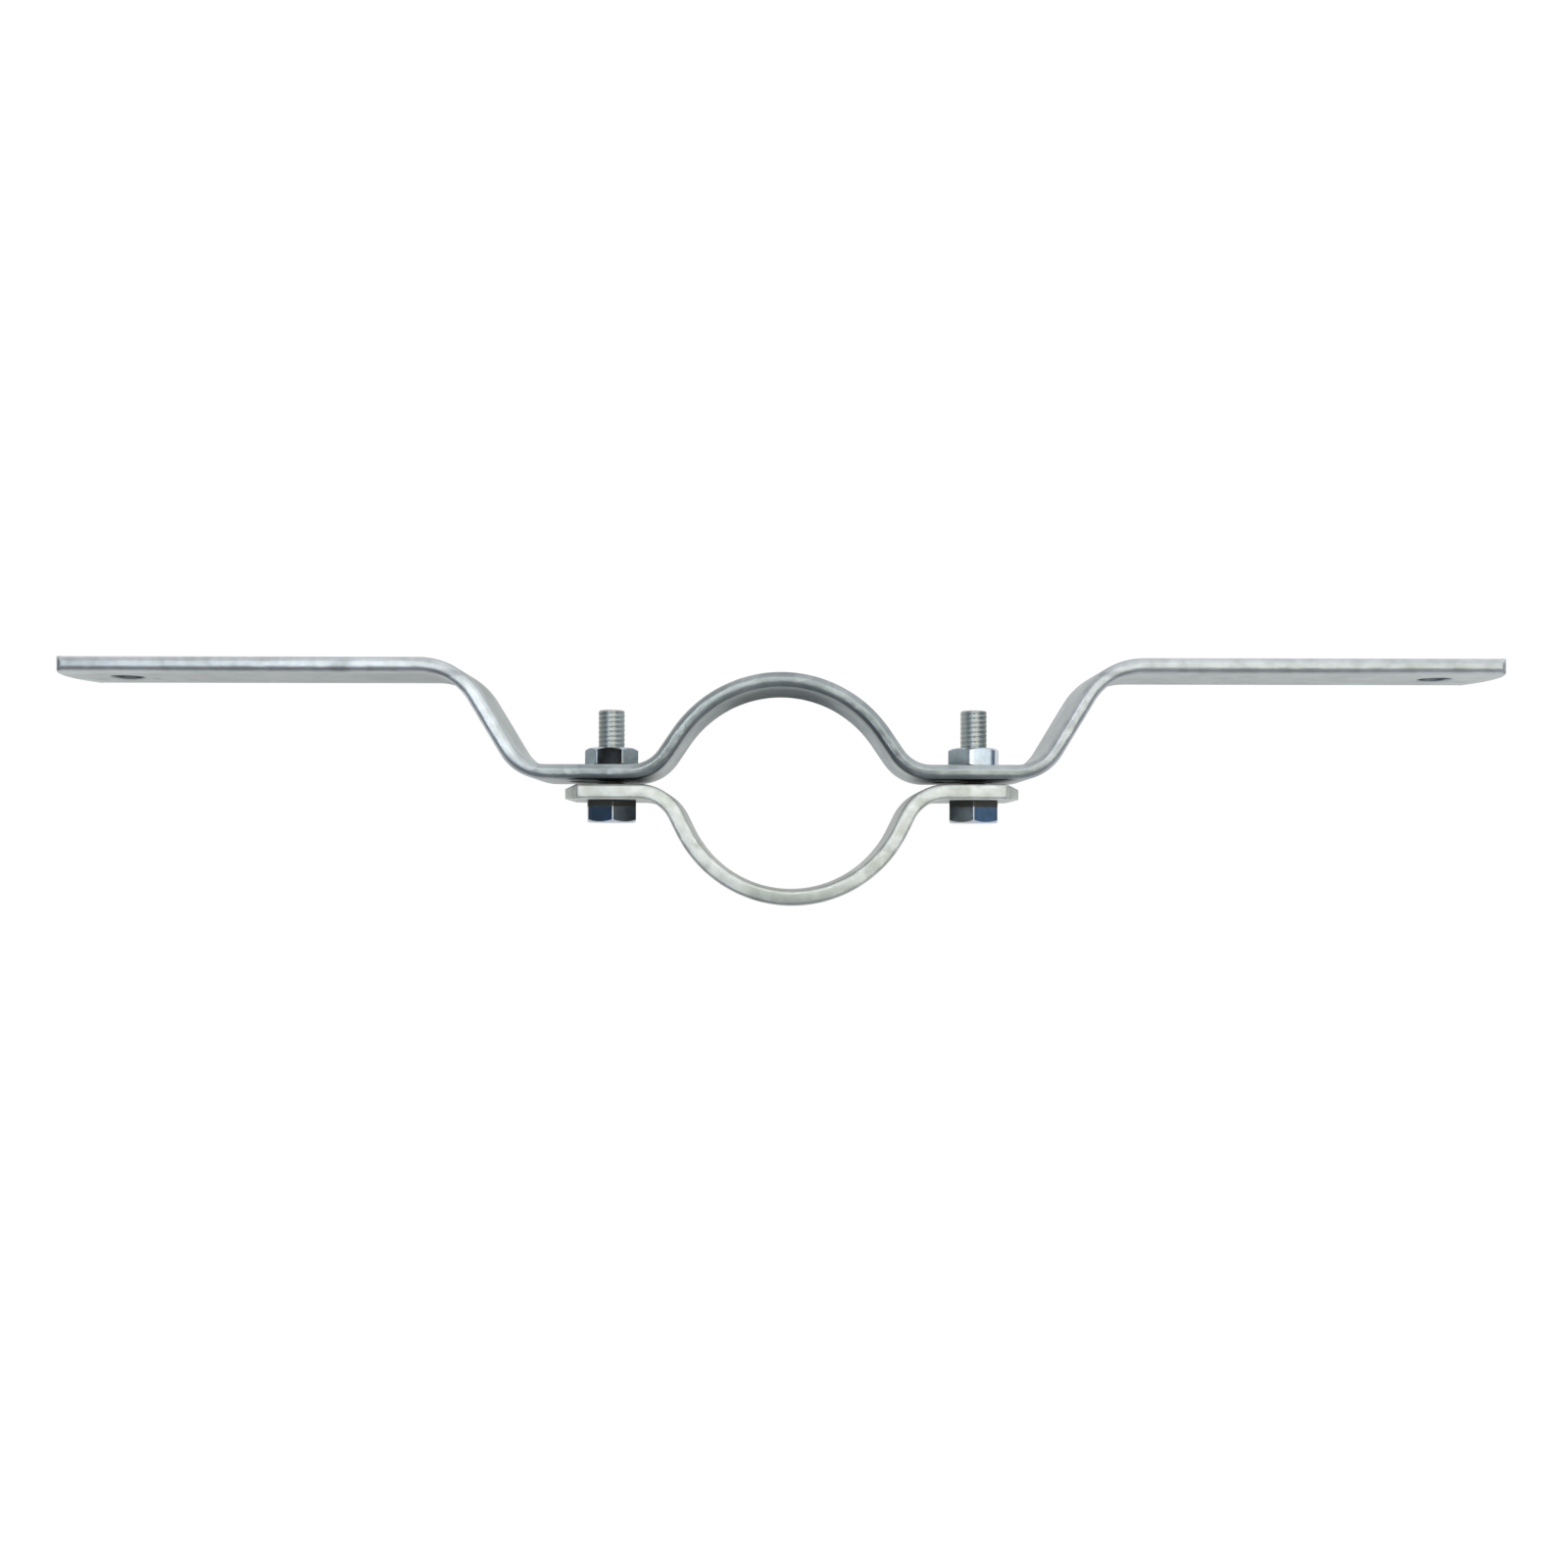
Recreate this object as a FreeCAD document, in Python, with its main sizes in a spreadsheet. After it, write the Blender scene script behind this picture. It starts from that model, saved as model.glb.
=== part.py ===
# Two-piece sign post clamp: two straps bent from flat bar, drawn together by two bolts.
# X runs along the arms, Y towards the sign and Z up the post. The origin is on the post
# axis, half way up the straps. Lengths are millimetres and angles are degrees.
import FreeCAD, Part
import math
import os
import Sketcher

# Driving dimensions, each a cell of the sheet with its name as the alias.
SIZES = {
    # The post and the flat bar that both straps are bent from.
    "post_diameter": 60.3,
    "strap_thickness": 4.0,
    "strap_width": 30.0,
    "strap_edge_break": 0.9,
    # Sign strap: a shallow arch over the post, flanges, joggles and two long arms.
    "sign_seat_clearance": 0.1,
    "sign_arch_angle": 56.0,
    "sign_root_radius": 8.8,
    "sign_flange_stand_off": 6.2,
    "joggle_angle": 59.0,
    "joggle_foot_radius": 9.6,
    "joggle_shoulder_radius": 15.0,
    "sign_face_proud": 3.75,
    "sign_end_margin": 16.0,
    "sign_end_bow": 3.2,
    "sign_corner_radius": 2.0,
    "sign_hole_spacing": 350.0,
    "sign_hole_diameter": 9.0,
    # Clip strap: the other half of the ring, bent a little tighter so that it grips.
    "clip_grip": 0.7,
    "clip_arch_angle": 64.0,
    "clip_root_radius": 9.1,
    "clip_flange_stand_off": 1.8,
    "clip_end_margin": 10.75,
    "clip_corner_radius": 3.5,
    # How the two straps lie together, drawn up without a post.
    "flange_gap": 1.1,
    "clip_shift": 2.8,
    # Bolts and nuts.
    "bolt_diameter": 8.0,
    "bolt_length": 24.2,
    "bolt_tip_chamfer": 0.7,
    "bolt_hole_clearance": 1.0,
    "bolt_side_play": 0.3,
    "slot_end_room": 0.4,
    "head_height": 5.8,
    "hexagon_width": 13.0,
    "hexagon_chamfer_angle": 30.0,
    "washer_face_share": 0.95,
    "nut_height": 5.0,
    "nut_thread_clearance": 0.05,
    "nut_countersink": 0.6,
    # Room on the flange past the nuts: to the root bend on one side, to the joggle on the other.
    "nut_root_clearance": 0.1,
    "nut_joggle_clearance": 2.3,
    # How far each hexagon stands turned about its bolt, anticlockwise from outside.
    "left_head_turn": 22.0,
    "right_head_turn": 33.0,
    "left_nut_turn": 0.0,
    "right_nut_turn": 14.0,
}

# How far a cutting outline runs past the solid, and how closely an edge is told by its box.
CUT_MARGIN = 1.0
CLOSE = 0.01

doc = FreeCAD.newDocument("sign_post_clamp")
sheet = doc.addObject("Spreadsheet::Sheet", "Sizes")
for row, (alias, value) in enumerate(SIZES.items(), start=1):
    sheet.set(f"A{row}", alias)
    sheet.set(f"B{row}", str(value))
    sheet.setAlias(f"B{row}", alias)
doc.recompute()

# Sizes that follow from the driving ones, as expressions over the sheet.
HALF_THICKNESS = "Sizes.strap_thickness / 2"
SIGN_SEAT_RADIUS = "(Sizes.post_diameter / 2 + Sizes.sign_seat_clearance)"
CLIP_SEAT_RADIUS = "(Sizes.post_diameter / 2 - Sizes.clip_grip)"
FLANGE_HOLE_DIAMETER = "(Sizes.bolt_diameter + Sizes.bolt_hole_clearance)"
BOLT_SHIFT = "(Sizes.clip_shift + Sizes.bolt_side_play)"
FLANGE_SLOT_TRAVEL = f"({BOLT_SHIFT} + Sizes.slot_end_room)"
SIGN_REACH = "(Sizes.sign_hole_spacing / 2 + Sizes.sign_end_margin)"
SIGN_END_RADIUS = "((Sizes.sign_end_bow ^ 2 + (Sizes.strap_width / 2) ^ 2) / (2 * Sizes.sign_end_bow))"
SIGN_FACE = f"({SIGN_SEAT_RADIUS} + Sizes.strap_thickness + Sizes.sign_face_proud)"
SIGN_FLANGE_TOP = "(Sizes.sign_flange_stand_off + Sizes.strap_thickness)"
CLIP_FLANGE_TOP = "(Sizes.sign_flange_stand_off - Sizes.flange_gap)"
CLIP_FLANGE_FOOT = f"({CLIP_FLANGE_TOP} - Sizes.strap_thickness)"
CLIP_AXIS = f"({CLIP_FLANGE_TOP} + Sizes.clip_flange_stand_off)"
HEXAGON_CORNER = "(Sizes.hexagon_width / 2 / cos(30))"
WASHER_FACE_RADIUS = "(Sizes.hexagon_width / 2 * Sizes.washer_face_share)"
NUT_BORE_RADIUS = "(Sizes.bolt_diameter / 2 + Sizes.nut_thread_clearance)"

# The root bend ends where its flank, tangent to the arch, would meet the flange, plus the
# bend's own setback. The bolts stand where both nuts seat on the flat past it.
FLANK_FOOT = (f"(({SIGN_SEAT_RADIUS} + {HALF_THICKNESS}"
              f" - (Sizes.sign_flange_stand_off + {HALF_THICKNESS}) * cos(Sizes.sign_arch_angle))"
              " / sin(Sizes.sign_arch_angle))")
ROOT_SETBACK = f"((Sizes.sign_root_radius + {HALF_THICKNESS}) * tan(Sizes.sign_arch_angle / 2))"
BOLT_PLACE = (f"({FLANK_FOOT} + {ROOT_SETBACK} + Sizes.nut_root_clearance"
              f" + {WASHER_FACE_RADIUS} + {BOLT_SHIFT})")
FLANGE_REACH = f"({BOLT_PLACE} + {BOLT_SHIFT} + {HEXAGON_CORNER} + Sizes.nut_joggle_clearance)"
CLIP_REACH = f"({BOLT_PLACE} + Sizes.clip_end_margin)"


def size(expression):
    """Returns the number that an expression over the sheet has now."""
    return float(sheet.evalExpression(expression))


def origin_plane(body, role):
    """Returns one of the body's own origin planes, such as XY_Plane."""
    return next(f for f in body.Origin.OriginFeatures if f.Role == role)


def sketch_on(body, role, name):
    """Starts a sketch on one of the body's origin planes."""
    sketch = body.newObject("Sketcher::SketchObject", name)
    sketch.AttachmentSupport = [(origin_plane(body, role), "")]
    sketch.MapMode = "FlatFace"
    return sketch


def line(sketch, start, end):
    """Draws a straight line and returns its number."""
    return sketch.addGeometry(Part.LineSegment(FreeCAD.Vector(*start, 0), FreeCAD.Vector(*end, 0)))


def arc(sketch, centre, radius, first, last):
    """Draws an arc from one angle to the next, anticlockwise, and returns its number."""
    circle = Part.Circle(FreeCAD.Vector(*centre, 0), FreeCAD.Vector(0, 0, 1), radius)
    return sketch.addGeometry(Part.ArcOfCircle(circle, math.radians(first), math.radians(last)))


def circle(sketch, centre, radius):
    """Draws a full circle and returns its number."""
    centre = FreeCAD.Vector(*centre, 0)
    return sketch.addGeometry(Part.Circle(centre, FreeCAD.Vector(0, 0, 1), radius))


def relate(sketch, kind, *places):
    """Adds a relation without a number, such as Tangent or Horizontal."""
    sketch.addConstraint(Sketcher.Constraint(kind, *places))


def dimension(sketch, name, expression, kind, *places):
    """Adds a dimension under its own name and binds it to the sheet."""
    value = size(expression)
    if kind == "Angle":
        value = math.radians(value)
    number = sketch.addConstraint(Sketcher.Constraint(kind, *places, value))
    sketch.renameConstraint(number, name)
    sketch.setExpression(f"Constraints.{name}", expression)


def polar(centre, radius, angle):
    """Returns the point at an angle on a circle."""
    turn = math.radians(angle)
    return (centre[0] + radius * math.cos(turn), centre[1] + radius * math.sin(turn))


def draw_half_ring(sketch, seat_radius, arch_angle, root_radius, stand_off, flange_end):
    """Draws the centre line of half an arch and its flange, from the crown outwards.

    Each argument is an expression. The crown's arc is centred on the sketch's origin, a
    straight flank leaves it, and the root bend turns the flank into the flange.
    """
    arch_expression = f"{seat_radius} + {HALF_THICKNESS}"
    root_expression = f"{root_radius} + {HALF_THICKNESS}"
    flange_expression = f"{stand_off} + {HALF_THICKNESS}"
    arch, root, flange = size(arch_expression), size(root_expression), size(flange_expression)
    turn = size(arch_angle)
    flank_top = polar((0, 0), arch, 90 - turn)
    drop = flank_top[1] - flange
    corner = flank_top[0] + drop / math.tan(math.radians(turn))
    root_centre = (corner + root * math.tan(math.radians(turn / 2)), flange + root)

    crown = arc(sketch, (0, 0), arch, 90 - turn, 90)
    flank = line(sketch, polar(root_centre, root, 270 - turn), flank_top)
    bend = arc(sketch, root_centre, root, 270 - turn, 270)
    foot = line(sketch, (root_centre[0], flange), (size(flange_end), flange))
    relate(sketch, "Coincident", crown, 3, -1, 1)
    relate(sketch, "PointOnObject", crown, 2, -2)
    relate(sketch, "Tangent", crown, 1, flank, 2)
    relate(sketch, "Tangent", flank, 1, bend, 1)
    relate(sketch, "Tangent", bend, 2, foot, 1)
    relate(sketch, "Horizontal", foot)
    dimension(sketch, "arch_radius", arch_expression, "Radius", crown)
    dimension(sketch, "root_radius", root_expression, "Radius", bend)
    dimension(sketch, "flank_angle", f"180 - {arch_angle}", "Angle", flank)
    dimension(sketch, "flange_height", flange_expression, "DistanceY", -1, 1, foot, 1)
    dimension(sketch, "flange_end", flange_end, "DistanceX", -1, 1, foot, 2)
    return foot


def draw_arm(sketch, foot):
    """Carries the sign strap's centre line on from its flange, up the joggle and out."""
    foot_expression = f"Sizes.joggle_foot_radius + {HALF_THICKNESS}"
    shoulder_expression = f"Sizes.joggle_shoulder_radius + {HALF_THICKNESS}"
    height_expression = f"{SIGN_FACE} - {HALF_THICKNESS}"
    low, high = size(foot_expression), size(shoulder_expression)
    turn, height = size("Sizes.joggle_angle"), size(height_expression)
    flange_end = (size(FLANGE_REACH), size(f"Sizes.sign_flange_stand_off + {HALF_THICKNESS}"))
    low_centre = (flange_end[0], flange_end[1] + low)
    ramp_foot = polar(low_centre, low, 270 + turn)
    rise = height - high + high * math.cos(math.radians(turn)) - ramp_foot[1]
    ramp_top = (ramp_foot[0] + rise / math.tan(math.radians(turn)), ramp_foot[1] + rise)
    high_centre = (ramp_top[0] + high * math.sin(math.radians(turn)), height - high)

    foot_bend = arc(sketch, low_centre, low, 270, 270 + turn)
    ramp = line(sketch, ramp_foot, ramp_top)
    shoulder = arc(sketch, high_centre, high, 90, 90 + turn)
    arm = line(sketch, (high_centre[0], height), (size(SIGN_REACH), height))
    relate(sketch, "Tangent", foot, 2, foot_bend, 1)
    relate(sketch, "Tangent", foot_bend, 2, ramp, 1)
    relate(sketch, "Tangent", ramp, 2, shoulder, 2)
    relate(sketch, "Tangent", shoulder, 1, arm, 1)
    relate(sketch, "Horizontal", arm)
    dimension(sketch, "foot_radius", foot_expression, "Radius", foot_bend)
    dimension(sketch, "shoulder_radius", shoulder_expression, "Radius", shoulder)
    dimension(sketch, "ramp_angle", "Sizes.joggle_angle", "Angle", ramp)
    dimension(sketch, "arm_height", height_expression, "DistanceY", -1, 1, arm, 1)
    dimension(sketch, "arm_end", SIGN_REACH, "DistanceX", -1, 1, arm, 2)


def draw_bar_section(sketch, seat_radius):
    """Draws the flat bar's section at the crown, from the seat outwards."""
    seat, thickness = size(seat_radius), size("Sizes.strap_thickness")
    half_width = size("Sizes.strap_width") / 2
    corners = [(seat, -half_width), (seat + thickness, -half_width)]
    corners += [(seat + thickness, half_width), (seat, half_width)]
    sides = [line(sketch, corners[i], corners[(i + 1) % 4]) for i in range(4)]
    for i in range(4):
        relate(sketch, "Coincident", sides[i], 2, sides[(i + 1) % 4], 1)
    relate(sketch, "Horizontal", sides[0])
    relate(sketch, "Horizontal", sides[2])
    relate(sketch, "Vertical", sides[3])
    relate(sketch, "Symmetric", sides[1], 1, sides[1], 2, -1)
    dimension(sketch, "seat_radius", seat_radius, "DistanceX", -1, 1, sides[0], 1)
    dimension(sketch, "thickness", "Sizes.strap_thickness", "DistanceX", sides[0], 1, sides[0], 2)
    dimension(sketch, "width", "Sizes.strap_width", "DistanceY", sides[1], 1, sides[1], 2)


def bend_bar(body, path, seat_radius):
    """Sweeps the flat bar's section along half of the strap's centre line."""
    section = sketch_on(body, "YZ_Plane", f"{body.Label}_section")
    draw_bar_section(section, seat_radius)
    pipe = body.newObject("PartDesign::AdditivePipe", f"{body.Label}_half")
    pipe.Profile = section
    pipe.Spine = (path, [f"Edge{i + 1}" for i in range(len(path.Geometry))])
    doc.recompute()
    return pipe


def cut_through(body, sketch, name):
    """Cuts a sketch's outline through the strap both ways and checks that it bites."""
    before = body.Shape.Volume
    cut = body.newObject("PartDesign::Pocket", name)
    cut.Profile = sketch
    cut.Type = "ThroughAll"
    cut.SideType = "Symmetric"
    doc.recompute()
    if not before - body.Shape.Volume > 1.0:
        raise RuntimeError(f"{name} cuts nothing")
    return cut


def mirror_half(body, features):
    """Repeats the half strap's features on the other side of the post."""
    mirror = body.newObject("PartDesign::Mirrored", f"{body.Label}_whole")
    mirror.Originals = features
    mirror.MirrorPlane = (origin_plane(body, "YZ_Plane"), [""])
    body.Tip = mirror
    doc.recompute()
    return mirror


def dress_edges(body, kind, name, width, picks):
    """Rounds or chamfers, as kind says, the edges of the body that picks says yes to."""
    base = body.Tip
    names = [f"Edge{i + 1}" for i, edge in enumerate(base.Shape.Edges) if picks(edge)]
    dressed = body.newObject(f"PartDesign::{kind}", name)
    dressed.Base = (base, names)
    dressed.setExpression("Radius" if kind == "Fillet" else "Size", width)
    body.Tip = dressed
    doc.recompute()


def is_corner(edge):
    """Tells whether an edge is one of the upright corners at a strap's ends."""
    box = edge.BoundBox
    upright = box.YLength > CLOSE and box.XLength < CLOSE and box.ZLength < CLOSE
    return upright and abs(abs(box.ZMin) - size("Sizes.strap_width / 2")) < CLOSE


def is_tip(edge, reach):
    """Tells whether an edge crosses the strap's tip, where the outline's two long edges start."""
    box = edge.BoundBox
    return abs(box.XMax - reach) < CLOSE and box.YLength < CLOSE and box.ZLength > CLOSE


def is_rim(edge, width):
    """Tells whether an edge is a level circle of that width."""
    box = edge.BoundBox
    return box.ZLength < CLOSE and abs(box.XLength - width) < CLOSE


def finish_strap(body, features, reach, corner_radius):
    """Mirrors the half strap, rounds its corners and breaks its rolled edges all the way round."""
    mirror_half(body, features)
    dress_edges(body, "Fillet", f"{body.Label}_corners", corner_radius, is_corner)
    tip = size(reach)
    dress_edges(body, "Chamfer", f"{body.Label}_edges", "Sizes.strap_edge_break",
                lambda edge: is_tip(edge, tip))


def draw_bowed_end(sketch):
    """Outlines what is cut away outside the sign strap's bowed end."""
    reach, bow = size(SIGN_REACH), size("Sizes.sign_end_bow")
    half_width, radius = size("Sizes.strap_width / 2"), size(SIGN_END_RADIUS)
    turn = math.degrees(math.asin(half_width / radius))
    shoulder = reach - bow
    top, outside = half_width + CUT_MARGIN, reach + CUT_MARGIN
    end = arc(sketch, (reach - radius, 0), radius, -turn, turn)
    corners = [(shoulder, half_width), (shoulder, top), (outside, top), (outside, -top)]
    corners += [(shoulder, -top), (shoulder, -half_width)]
    sides = [line(sketch, first, last) for first, last in zip(corners, corners[1:])]
    relate(sketch, "Coincident", end, 2, sides[0], 1)
    for first, last in zip(sides, sides[1:]):
        relate(sketch, "Coincident", first, 2, last, 1)
    relate(sketch, "Coincident", sides[-1], 2, end, 1)
    relate(sketch, "PointOnObject", end, 3, -1)
    for i in (0, 2, 4):
        relate(sketch, "Vertical", sides[i])
    for i in (1, 3):
        relate(sketch, "Horizontal", sides[i])
    dimension(sketch, "end_radius", SIGN_END_RADIUS, "Radius", end)
    dimension(sketch, "half_width", "Sizes.strap_width / 2", "DistanceY", -1, 1, end, 2)
    shoulder_expression = f"{SIGN_REACH} - Sizes.sign_end_bow"
    margin_expression = f"Sizes.strap_width / 2 + {CUT_MARGIN}"
    past_expression = f"{SIGN_REACH} + {CUT_MARGIN}"
    dimension(sketch, "shoulder", shoulder_expression, "DistanceX", -1, 1, end, 2)
    dimension(sketch, "over_top", margin_expression, "DistanceY", -1, 1, sides[1], 1)
    dimension(sketch, "under_foot", margin_expression, "DistanceY", sides[3], 1, -1, 1)
    dimension(sketch, "past_tip", past_expression, "DistanceX", -1, 1, sides[2], 1)


def draw_round_hole(sketch, name, out, diameter):
    """Draws one round hole on the strap's middle line, a distance out from the post."""
    hole = circle(sketch, (size(out), 0), size(diameter) / 2)
    relate(sketch, "PointOnObject", hole, 3, -1)
    dimension(sketch, f"{name}_place", out, "DistanceX", -1, 1, hole, 3)
    dimension(sketch, f"{name}_diameter", diameter, "Diameter", hole)


def draw_flange_slot(sketch):
    """Draws the slot that lets the sign strap's flange follow the bolt sideways."""
    middle, travel = size(BOLT_PLACE), size(FLANGE_SLOT_TRAVEL)
    radius = size(FLANGE_HOLE_DIAMETER) / 2
    outer = arc(sketch, (middle + travel, 0), radius, -90, 90)
    top = line(sketch, (middle + travel, radius), (middle - travel, radius))
    inner = arc(sketch, (middle - travel, 0), radius, 90, 270)
    foot = line(sketch, (middle - travel, -radius), (middle + travel, -radius))
    relate(sketch, "Tangent", outer, 2, top, 1)
    relate(sketch, "Tangent", top, 2, inner, 1)
    relate(sketch, "Tangent", inner, 2, foot, 1)
    relate(sketch, "Tangent", foot, 2, outer, 1)
    relate(sketch, "PointOnObject", outer, 3, -1)
    relate(sketch, "PointOnObject", inner, 3, -1)
    dimension(sketch, "slot_radius", f"{FLANGE_HOLE_DIAMETER} / 2", "Radius", outer)
    dimension(sketch, "slot_outer", f"{BOLT_PLACE} + {FLANGE_SLOT_TRAVEL}", "DistanceX", -1, 1, outer, 3)
    dimension(sketch, "slot_inner", f"{BOLT_PLACE} - {FLANGE_SLOT_TRAVEL}", "DistanceX", -1, 1, inner, 3)


def build_sign_strap():
    """Builds the long strap that carries the sign."""
    body = doc.addObject("PartDesign::Body", "sign_strap")
    body.Label = "sign_strap"
    path = sketch_on(body, "XY_Plane", "sign_strap_path")
    foot = draw_half_ring(path, SIGN_SEAT_RADIUS, "Sizes.sign_arch_angle", "Sizes.sign_root_radius",
                          "Sizes.sign_flange_stand_off", FLANGE_REACH)
    draw_arm(path, foot)
    half = bend_bar(body, path, SIGN_SEAT_RADIUS)
    end_sketch = sketch_on(body, "XZ_Plane", "sign_strap_end_sketch")
    draw_bowed_end(end_sketch)
    end = cut_through(body, end_sketch, "sign_strap_end")
    hole_sketch = sketch_on(body, "XZ_Plane", "sign_strap_hole_sketch")
    draw_flange_slot(hole_sketch)
    draw_round_hole(hole_sketch, "sign_hole", "Sizes.sign_hole_spacing / 2", "Sizes.sign_hole_diameter")
    holes = cut_through(body, hole_sketch, "sign_strap_holes")
    finish_strap(body, [half, end, holes], SIGN_REACH, "Sizes.sign_corner_radius")
    return body


def build_clip_strap():
    """Builds the short strap behind the post. It is drawn like the sign strap's arch and turned over."""
    body = doc.addObject("PartDesign::Body", "clip_strap")
    body.Label = "clip_strap"
    path = sketch_on(body, "XY_Plane", "clip_strap_path")
    draw_half_ring(path, CLIP_SEAT_RADIUS, "Sizes.clip_arch_angle", "Sizes.clip_root_radius",
                   "Sizes.clip_flange_stand_off", CLIP_REACH)
    half = bend_bar(body, path, CLIP_SEAT_RADIUS)
    hole_sketch = sketch_on(body, "XZ_Plane", "clip_strap_hole_sketch")
    draw_round_hole(hole_sketch, "bolt_hole", BOLT_PLACE, FLANGE_HOLE_DIAMETER)
    holes = cut_through(body, hole_sketch, "clip_strap_holes")
    finish_strap(body, [half, holes], CLIP_REACH, "Sizes.clip_corner_radius")
    place(body, "Sizes.clip_shift", CLIP_AXIS, (0, 0, 1), "180")
    return body


def place(body, along, out, axis, turn):
    """Puts a body in the clamp: along the arms, out towards the sign, turned about an axis."""
    turned = FreeCAD.Rotation(FreeCAD.Vector(*axis), size(turn))
    body.Placement = FreeCAD.Placement(FreeCAD.Vector(0, 0, 0), turned)
    body.setExpression("Placement.Base.x", along)
    body.setExpression("Placement.Base.y", out)


def draw_hexagon(sketch, turn):
    """Draws a regular hexagon about the sketch's origin, its first corner turned from the X axis."""
    corner, angle = size(HEXAGON_CORNER), size(turn)
    corners = [polar((0, 0), corner, angle + 60 * i) for i in range(6)]
    sides = [line(sketch, corners[i], corners[(i + 1) % 6]) for i in range(6)]
    round_it = circle(sketch, (0, 0), corner)
    sketch.toggleConstruction(round_it)
    relate(sketch, "Coincident", round_it, 3, -1, 1)
    for i in range(6):
        relate(sketch, "Coincident", sides[i], 2, sides[(i + 1) % 6], 1)
        relate(sketch, "PointOnObject", sides[i], 1, round_it)
    for i in range(5):
        relate(sketch, "Equal", sides[i], sides[i + 1])
    dimension(sketch, "corner_radius", HEXAGON_CORNER, "Radius", round_it)
    dimension(sketch, "turn", f"{turn} + 120", "Angle", sides[0])


def pad(body, sketch, name, length, reversed_way=False):
    """Raises a sketch into a solid."""
    block = body.newObject("PartDesign::Pad", name)
    block.Profile = sketch
    block.setExpression("Length", length)
    block.Reversed = reversed_way
    body.Tip = block
    doc.recompute()
    return block


def chamfer_hexagon(body, name, level, way):
    """Turns the corners off one end of a hexagon, outside its washer face.

    The level is an expression for the end's height and way is 1 for the top and -1 for the foot.
    """
    inner = size(WASHER_FACE_RADIUS)
    outer = size(HEXAGON_CORNER) + CUT_MARGIN
    height = size(level)
    fall = (outer - inner) * math.tan(math.radians(size("Sizes.hexagon_chamfer_angle")))
    before = body.Shape.Volume
    sketch = sketch_on(body, "XZ_Plane", f"{name}_sketch")
    end = line(sketch, (inner, height), (outer, height))
    side = line(sketch, (outer, height), (outer, height - way * fall))
    slope = line(sketch, (outer, height - way * fall), (inner, height))
    relate(sketch, "Coincident", end, 2, side, 1)
    relate(sketch, "Coincident", side, 2, slope, 1)
    relate(sketch, "Coincident", slope, 2, end, 1)
    relate(sketch, "Horizontal", end)
    relate(sketch, "Vertical", side)
    if height:
        dimension(sketch, "level", level, "DistanceY", -1, 1, end, 1)
    else:
        relate(sketch, "PointOnObject", end, 1, -1)
    dimension(sketch, "washer_face", WASHER_FACE_RADIUS, "DistanceX", -1, 1, end, 1)
    dimension(sketch, "past_corner", f"{HEXAGON_CORNER} + {CUT_MARGIN}", "DistanceX", -1, 1, end, 2)
    slope_angle = f"180 - {way} * Sizes.hexagon_chamfer_angle"
    dimension(sketch, "slope", slope_angle, "Angle", slope)
    groove = body.newObject("PartDesign::Groove", name)
    groove.Profile = sketch
    groove.ReferenceAxis = (sketch, ["V_Axis"])
    groove.Angle = 360
    body.Tip = groove
    doc.recompute()
    if not before - body.Shape.Volume > 0.1:
        raise RuntimeError(f"{name} cuts nothing")


def build_bolt(side, way):
    """Builds one hexagon bolt: its head lies behind the clip strap and its shank points at the sign."""
    body = doc.addObject("PartDesign::Body", f"bolt_{side}")
    body.Label = f"bolt_{side}"
    head_sketch = sketch_on(body, "XY_Plane", f"bolt_{side}_head_sketch")
    draw_hexagon(head_sketch, f"Sizes.{side}_head_turn")
    pad(body, head_sketch, f"bolt_{side}_head", "Sizes.head_height")
    chamfer_hexagon(body, f"bolt_{side}_head_chamfer", "Sizes.head_height", 1)
    shank_sketch = sketch_on(body, "XY_Plane", f"bolt_{side}_shank_sketch")
    rim = circle(shank_sketch, (0, 0), size("Sizes.bolt_diameter") / 2)
    relate(shank_sketch, "Coincident", rim, 3, -1, 1)
    dimension(shank_sketch, "diameter", "Sizes.bolt_diameter", "Diameter", rim)
    pad(body, shank_sketch, f"bolt_{side}_shank", "Sizes.bolt_length", reversed_way=True)
    tip = -size("Sizes.bolt_length")
    dress_edges(body, "Chamfer", f"bolt_{side}_tip", "Sizes.bolt_tip_chamfer",
                lambda edge: abs(edge.BoundBox.ZMax - tip) < CLOSE)
    place(body, f"{BOLT_SHIFT} + {way} * {BOLT_PLACE}", CLIP_FLANGE_FOOT, (1, 0, 0), "90")
    return body


def build_nut(side, way):
    """Builds one thin hexagon nut, seated on the sign strap's flange."""
    body = doc.addObject("PartDesign::Body", f"nut_{side}")
    body.Label = f"nut_{side}"
    block_sketch = sketch_on(body, "XY_Plane", f"nut_{side}_block_sketch")
    draw_hexagon(block_sketch, f"Sizes.{side}_nut_turn")
    bore = circle(block_sketch, (0, 0), size(NUT_BORE_RADIUS))
    relate(block_sketch, "Coincident", bore, 3, -1, 1)
    dimension(block_sketch, "bore_radius", NUT_BORE_RADIUS, "Radius", bore)
    pad(body, block_sketch, f"nut_{side}_block", "Sizes.nut_height")
    chamfer_hexagon(body, f"nut_{side}_top_chamfer", "Sizes.nut_height", 1)
    chamfer_hexagon(body, f"nut_{side}_foot_chamfer", "0", -1)
    dress_edges(body, "Chamfer", f"nut_{side}_countersinks", "Sizes.nut_countersink",
                lambda edge: is_rim(edge, size(NUT_BORE_RADIUS) * 2))
    place(body, f"{BOLT_SHIFT} + {way} * {BOLT_PLACE}", SIGN_FLANGE_TOP, (1, 0, 0), "-90")
    return body


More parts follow.
